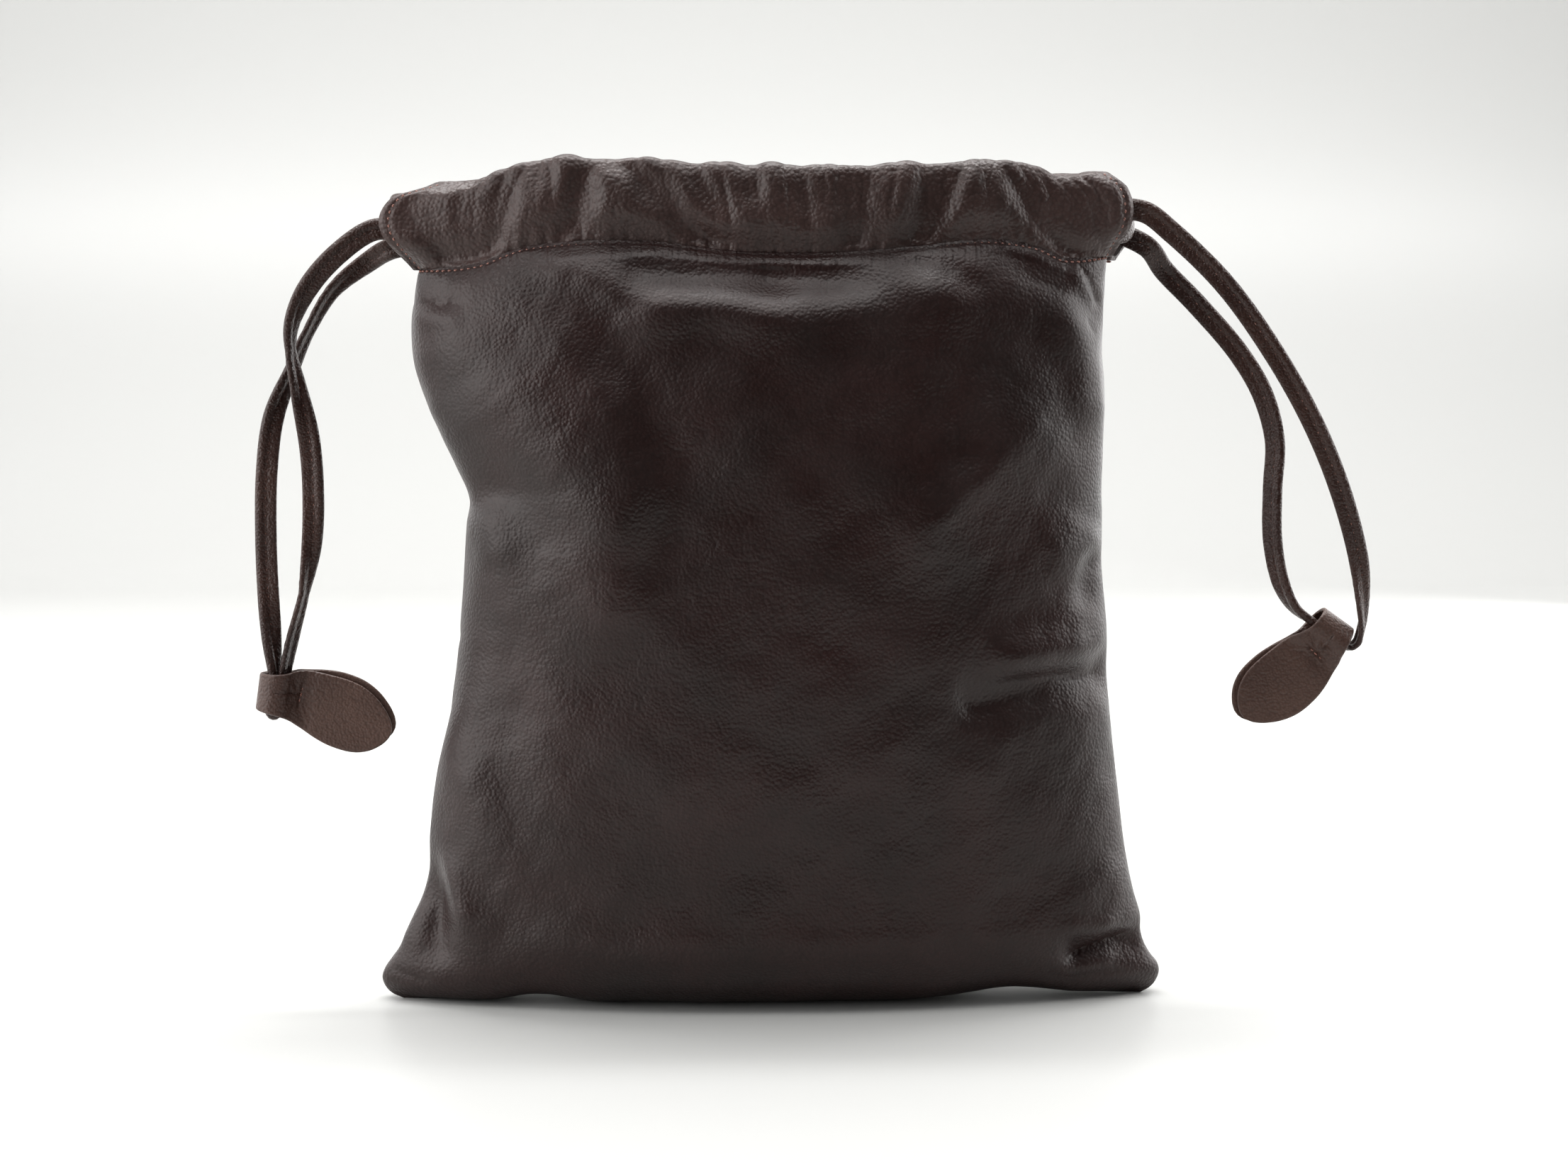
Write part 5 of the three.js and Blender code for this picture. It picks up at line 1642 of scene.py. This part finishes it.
@dataclass
class LeafPull:
    """A strip of leather folded round the straps: a barrel and two leaf-shaped layers."""

    end: End
    x: float
    y: float
    z: float
    turn: float
    paired: bool
    front_shift: tuple[float, float]
    step: float = 0.4
    face_columns: int = 34
    edge_columns: int = 6

    def place(self, along: Array, out: Array, wide: Array) -> Array:
        """Put points of the flat pull where it hangs: turned about Y and moved to its barrel."""
        angle = math.radians(self.turn)
        x = self.x + along * math.cos(angle) + wide * math.sin(angle)
        z = self.z - along * math.sin(angle) + wide * math.cos(angle)
        return np.stack([x, self.y + out, z], axis=-1)

    def strap_turn(self) -> tuple[Array, Array]:
        """The strap's corners inside the barrel, with its turn in degrees at each.

        Where the two ends lie as a pair, the strap goes down one side, round a tight turn below
        the barrel and up the other side. Otherwise it runs straight through.

        Returns:
            The corners in millimetres and the turns.
        """
        half = LEAF_HALF_WIDTH * LEAF_OUTLINE.columns["half"][0]
        if not self.paired:
            wide = np.array([half, 0, -half])
            return self.place(np.zeros(3), np.zeros(3), wide), np.full(3, 90.0)
        apart = STRAP_THICKNESS / 2 + SEAM_GAP / 2
        angle = np.radians([30, 60, 90, 120, 150])
        along = np.concatenate([[apart] * 3, apart * np.cos(angle), [-apart] * 3])
        wide = np.concatenate([[half, 0, -half], -half - apart * np.sin(angle), [-half, 0, half]])
        less, more = 90 - PAIR_TILT, 90 + PAIR_TILT
        turns = [less, less, 90 - PAIR_TILT / 2, *[90.0] * 5, 90 + PAIR_TILT / 2, more, more]
        return self.place(along, np.zeros(len(along)), wide), np.array(turns)

    def strip_line(self) -> Array:
        """The strip's middle line seen edge on: in along the front layer, round the barrel and out.

        Returns:
            Samples of along and out in millimetres, the front layer first.
        """
        layer = PULL_LEATHER / 2 + SEAM_GAP / 2
        radius = BARREL_RADIUS + PULL_LEATHER / 2
        leaf = np.array(LEAF_STATIONS) * LEAF_LENGTH
        angle = np.radians(BARREL_DEGREES)
        along = np.concatenate([leaf, radius * np.cos(angle), leaf[::-1]])
        flat = np.full(len(leaf), layer)
        out = np.concatenate([-flat, -radius * np.sin(angle), flat])
        corners = np.stack([along, out, np.zeros(len(along))], axis=-1)
        return spline(corners, self.step)[0][:, :2]

    def relief(self, along: Array, wide: Array, front: Array) -> Array:
        """Inward shift of the outer face: the tack's crease beside the barrel, its short slit and
        wrinkles that fan out from it.

        Args:
            along: Distance from the barrel's middle in millimetres.
            wide: Place across the strip in millimetres.
            front: 1 on the front layer and 0 on the back.

        Returns:
            The shift in millimetres.
        """
        past = along - TACK_AT
        crease = 0.75 * bell(past - TACK_SLANT * wide, 0.55) * bell(wide, 4.6)
        dent = 0.5 * bell(np.hypot(past * 0.8, wide * 0.45), 2.4)
        slit_span = smoothstep(-1.5, 0.5, along) * smoothstep(TACK_AT + 1.0, TACK_AT, along)
        slit = 0.55 * bell(wide - 0.6 - 0.08 * along, 0.42) * slit_span
        angle = np.arctan2(wide, past + 1e-6)
        distance = np.hypot(past, wide)
        fan = 0.14 * np.cos(angle * 11 + 0.6 * wide) * bell(distance - 4.2, 3.0)
        return (crease + dent + fan) * mix(0.7, 1.0, front) + slit * front

    def build(self) -> bpy.types.Object:
        """Make the pull: a rounded flat section carried along the strip's line.

        Returns:
            The pull.
        """
        line = self.strip_line()
        flat = np.concatenate([line, np.zeros((len(line), 1))], axis=1)
        run = frames_along(flat)
        radius = BARREL_RADIUS + PULL_LEATHER / 2
        along, out = line[:, 0], line[:, 1]
        length = arc_length(flat)
        front = smoothstep(0.56, 0.44, length / length[-1])
        half = LEAF_HALF_WIDTH * LEAF_OUTLINE.follow("half", along / LEAF_LENGTH)
        leaf_share = smoothstep(0.15, 0.5, along / LEAF_LENGTH)
        sign = np.where(front > 0.5, 0.5, -0.5)
        drift = -LEAF_SKEW * np.maximum(0, along - radius) + sign * leaf_share * self.front_shift[1]
        edge = PULL_LEATHER / 2
        flat_share = np.linspace(1, -1, self.face_columns)
        round_angle = np.linspace(0, np.pi, self.edge_columns + 2)[1:-1]
        face, side = np.ones(self.face_columns), np.ones(self.edge_columns)
        round_out, round_up = np.sin(round_angle), np.cos(round_angle)
        core = np.concatenate([flat_share, -side, -flat_share, side])
        bulge = np.concatenate([0 * face, -round_out, 0 * face, round_out])
        thick = np.concatenate([face, round_up, -face, -round_up])
        inner_half = np.maximum(0.15, half - edge)[:, None]
        across = core[None, :] * inner_half + bulge[None, :] * edge
        wide = across + drift[:, None]
        press = self.relief(along[:, None], across, front[:, None])
        inside = smoothstep(1.02, 0.85, np.abs(across) / np.maximum(half[:, None], 0.5))
        height = thick[None, :] * edge - press * (thick[None, :] > 0.2) * inside
        ahead = (sign * leaf_share * self.front_shift[0])[:, None]
        point_along = along[:, None] + run[:, 1:2] * -height + ahead
        point_out = out[:, None] + run[:, 0:1] * height
        lift = 0.5 * leaf_share * smoothstep(0.2, 1.0, along / LEAF_LENGTH)
        point_out = point_out - (np.where(front > 0.5, lift, -lift) * 0.5)[:, None]
        rings = self.place(point_along, point_out, wide)
        points, faces = rod(rings)
        return lay_mesh(f"pull_{self.end.value}_leaf", points, faces, crisp_degrees=60)

    def tack_stitches(self) -> tuple[Array, Array, Array]:
        """The bar tack beside the barrel, on both faces: a short row of stitches laid along it.

        Returns:
            Centres, directions and normals of its stitches.
        """
        wide = np.linspace(-3.2, 3.2, 4)
        layer = PULL_LEATHER + SEAM_GAP / 2 - 0.45
        along = TACK_AT + TACK_SLANT * wide
        drift = -LEAF_SKEW * (along - BARREL_RADIUS - PULL_LEATHER / 2)
        front = self.place(along, np.full(4, -layer), wide + drift)
        back = self.place(along, np.full(4, layer), wide + drift)
        step = unit(front[-1] - front[0])
        centres = np.concatenate([front, back])
        directions = np.broadcast_to(step, centres.shape)
        normals = np.concatenate([np.tile([0.0, -1.0, 0.0], (4, 1)), np.tile([0.0, 1.0, 0.0], (4, 1))])
        return centres, directions, normals


# Each soft box: name, middle and size in millimetres, and glow
SOFT_BOXES = (
    ("top_front_box", (-100, -640, 1600), (1500, 600), 5.0),
    ("back_top_box", (0, 450, 1700), (2400, 1100), 4.5),
    ("left_front_box", (-1000, -560, 480), (850, 1000), 4.0),
    ("left_box", (-1300, 150, 560), (1100, 1000), 2.4),
    ("left_back_box", (-1000, 900, 500), (900, 900), 1.5),
    ("right_box", (1250, 200, 560), (900, 1000), 5.0),
    ("right_back_box", (900, 1000, 500), (900, 900), 3.0),
)
WALL_AIM = (0, 2100, 700)


@dataclass
class Studio:
    """Camera, floor and lights: a pale sweep under broad soft boxes."""

    eye: tuple[float, float, float] = (-32.34, -1056.3, 244.7)
    pitch_down: float = 5.44
    yaw_right: float = 2.0
    lens: float = 70.0
    sensor: float = 36.0

    def camera(self) -> bpy.types.Object:
        """Place the camera where the photograph was taken from.

        Returns:
            The camera.
        """
        data = bpy.data.cameras.new("camera")
        data.lens = self.lens
        data.sensor_width = self.sensor
        data.clip_start = 0.01
        data.clip_end = 50
        camera = bpy.data.objects.new("camera", data)
        camera.location = Vector(self.eye) * MM
        camera.rotation_euler = (math.radians(90 - self.pitch_down), 0, math.radians(-self.yaw_right))
        bpy.context.scene.collection.objects.link(camera)
        bpy.context.scene.camera = camera
        return camera

    def sweep(self) -> bpy.types.Object:
        """Make the floor and backdrop: a level sheet that curves up into a wall.

        Its profile is a straight line, a quarter circle and a straight line, carried along X.

        Returns:
            The floor.
        """
        front, back, radius, top, half = -520.0, 1500.0, 600.0, 3200.0, 3600.0
        angle = np.linspace(0, np.pi / 2, 24)
        y = np.concatenate([np.linspace(front, back, 12), back + radius * np.sin(angle), [back + radius]])
        z = np.concatenate([np.zeros(12), radius * (1 - np.cos(angle)), [top]])
        x = np.linspace(-half, half, 9)
        grid_x, grid_y = np.meshgrid(x, y)
        grid_z = np.broadcast_to(z[:, None], grid_x.shape)
        points = np.stack([grid_x, grid_y, grid_z], axis=-1)
        numbers = np.arange(points.shape[0] * points.shape[1]).reshape(points.shape[:2])
        mesh = bpy.data.meshes.new("floor")
        mesh.from_pydata((points.reshape(-1, 3) * MM).tolist(), [], grid_faces(numbers).tolist())
        mesh.polygons.foreach_set("use_smooth", np.ones(len(mesh.polygons), dtype=bool))
        floor = bpy.data.objects.new("floor", mesh)
        bpy.context.scene.collection.objects.link(floor)
        mesh.materials.append(PaleStageFinish("pale_floor", "#b6b6b4", 0.35).build())
        return floor

    def light(
        self,
        name: str,
        at: tuple[float, float, float],
        size: tuple[float, float],
        glow: float,
        aim: tuple[float, float, float] = (0, 0, 140),
    ) -> None:
        """Add one soft box.

        Args:
            name: The light's name.
            at: Its middle in millimetres.
            size: Its width and height in millimetres.
            glow: Its brightness, where 1 is a white surface in full light.
            aim: The point that it faces, in millimetres.
        """
        data = bpy.data.lights.new(name, "AREA")
        data.shape = "RECTANGLE"
        data.size, data.size_y = size[0] * MM, size[1] * MM
        data.energy = glow * math.pi * data.size * data.size_y
        lamp = bpy.data.objects.new(name, data)
        lamp.location = Vector(at) * MM
        lamp.rotation_mode = "QUATERNION"
        lamp.rotation_quaternion = (Vector(aim) - Vector(at)).to_track_quat("-Z", "Y")
        bpy.context.scene.collection.objects.link(lamp)

    def build(self) -> None:
        """Set up the floor, the lights and the even light of a pale room."""
        self.sweep()
        for name, at, size, glow in SOFT_BOXES:
            self.light(name, at, size, glow)
        self.light("wall_wash", (0, 600, 2600), (3200, 500), 19.0, WALL_AIM)
        world = bpy.data.worlds.new("pale_room")
        world.use_nodes = True
        background = world.node_tree.nodes["Background"]
        background.inputs["Color"].default_value = (0.95, 0.97, 1.0, 1.0)
        background.inputs["Strength"].default_value = 0.06
        bpy.context.scene.world = world
        bpy.context.scene.view_settings.view_transform = "Standard"


def main() -> None:
    """Build the pouch in order: camera, strings and pulls, casings, panels, stitches and studio."""
    logging.basicConfig(level=logging.INFO, format="%(name)s %(message)s")
    studio = Studio()
    studio.camera()
    seamed = {"gloss": 0.42, "pucker_mm": 0.9}
    body = NappaFinish("body_nappa", "#180a08", "#241210", grain_mm=1.15, grain_deep_mm=0.07, **seamed)
    # The casings' leather is the body's, given lighter colours: painted light standing in for the top light
    # that falls on the casings
    channel = NappaFinish("casing_painted_light_nappa", "#2c1e1b", "#3d2d2a", grain_mm=1.3, grain_deep_mm=0.1, **seamed)
    strap = NappaFinish("strap_nappa", "#271612", "#38241e", 0.8, 0.1, gloss=0.36, wrinkle_mm=2.0,
                        wrinkle_deep_mm=0.11)
    leaf = NappaFinish("pull_nappa", "#3c2923", "#4f3a32", 0.9, 0.08, gloss=0.44, wrinkle_mm=4.0,
                       wrinkle_deep_mm=0.06)
    body, casing_finish, strap_finish, pull_finish = (one.build() for one in (body, channel, strap, leaf))
    suede = FleshSideFinish().build()
    thread = ThreadFinish().build()
    front_casing = Casing(Side.FRONT, FRONT_GATHERS.rows() + FRONT_TUCKS.rows(), 480, 84)
    back_rows = [(place, place + 0.02, 0.035, 0.8, 0.16) for place in np.linspace(-0.8, 0.8, 19)]
    back_gathers = Table(GATHER_COLUMNS, back_rows).rows()
    back_casing = Casing(Side.BACK, back_gathers, 360, 60, deepest=1.7, pinch_rise=0.22)
    pulls = {
        End.LEFT: LeafPull(End.LEFT, -171.6, 0.0, 108.0, turn=8.0, paired=True, front_shift=(-1, -1.6)),
        End.RIGHT: LeafPull(End.RIGHT, 195.5, 0.0, 127.5, turn=125.7, paired=False, front_shift=(-0.6, 1.6)),
    }
    strings = [
        Drawstring(End.LEFT, front_casing, back_casing, LEFT_DOWN, LEFT_UP, pulls[End.LEFT], 180.0),
        Drawstring(End.RIGHT, front_casing, back_casing, RIGHT_DOWN, RIGHT_UP, pulls[End.RIGHT], 0.0),
    ]
    for string in strings:
        name = string.end.value
        pull = string.pull.build()
        dress(pull, [pull_finish], "pull_leather", f"pull_{name}")
        tack = StitchRow(f"pull_{name}_tack", 2.0, 0.6).build(*string.pull.tack_stitches())
        dress(tack, [thread], "pull_leather")
        loop, stitches, path = string.build_loop()
        dress(loop, [strap_finish], "strap_leather", f"drawstring_{name}")
        dress(stitches, [thread], "strap_leather")
        length = float(arc_length(path)[-1]) * MM
        run = string.build_run()
        dress(run, [strap_finish], "strap_leather", f"drawstring_{name}_run")
        LOG.info("free loop %s: %.0f mm", name, length / MM)
    for casing in (front_casing, back_casing):
        dress(casing.build(), [casing_finish, suede], "casing_leather", f"{casing.side.value}_casing")
        dress(SeamStitching(casing).build(), [thread], "casing_leather")
    panels = [
        Panel(Side.FRONT, FRONT_BASE_RADIUS, FRONT_FOLDS, FRONT_CREASES, 270, 54, 192, 24),
        Panel(Side.BACK, BACK_BASE_RADIUS, BACK_FOLDS, BACK_CREASES, 180, 42, 138, 18),
    ]
    for panel in panels:
        dress(panel.build(), [body, suede], "body_leather", f"{panel.side.value}_panel")
    studio.build()


if __name__ == "__main__":
    main()
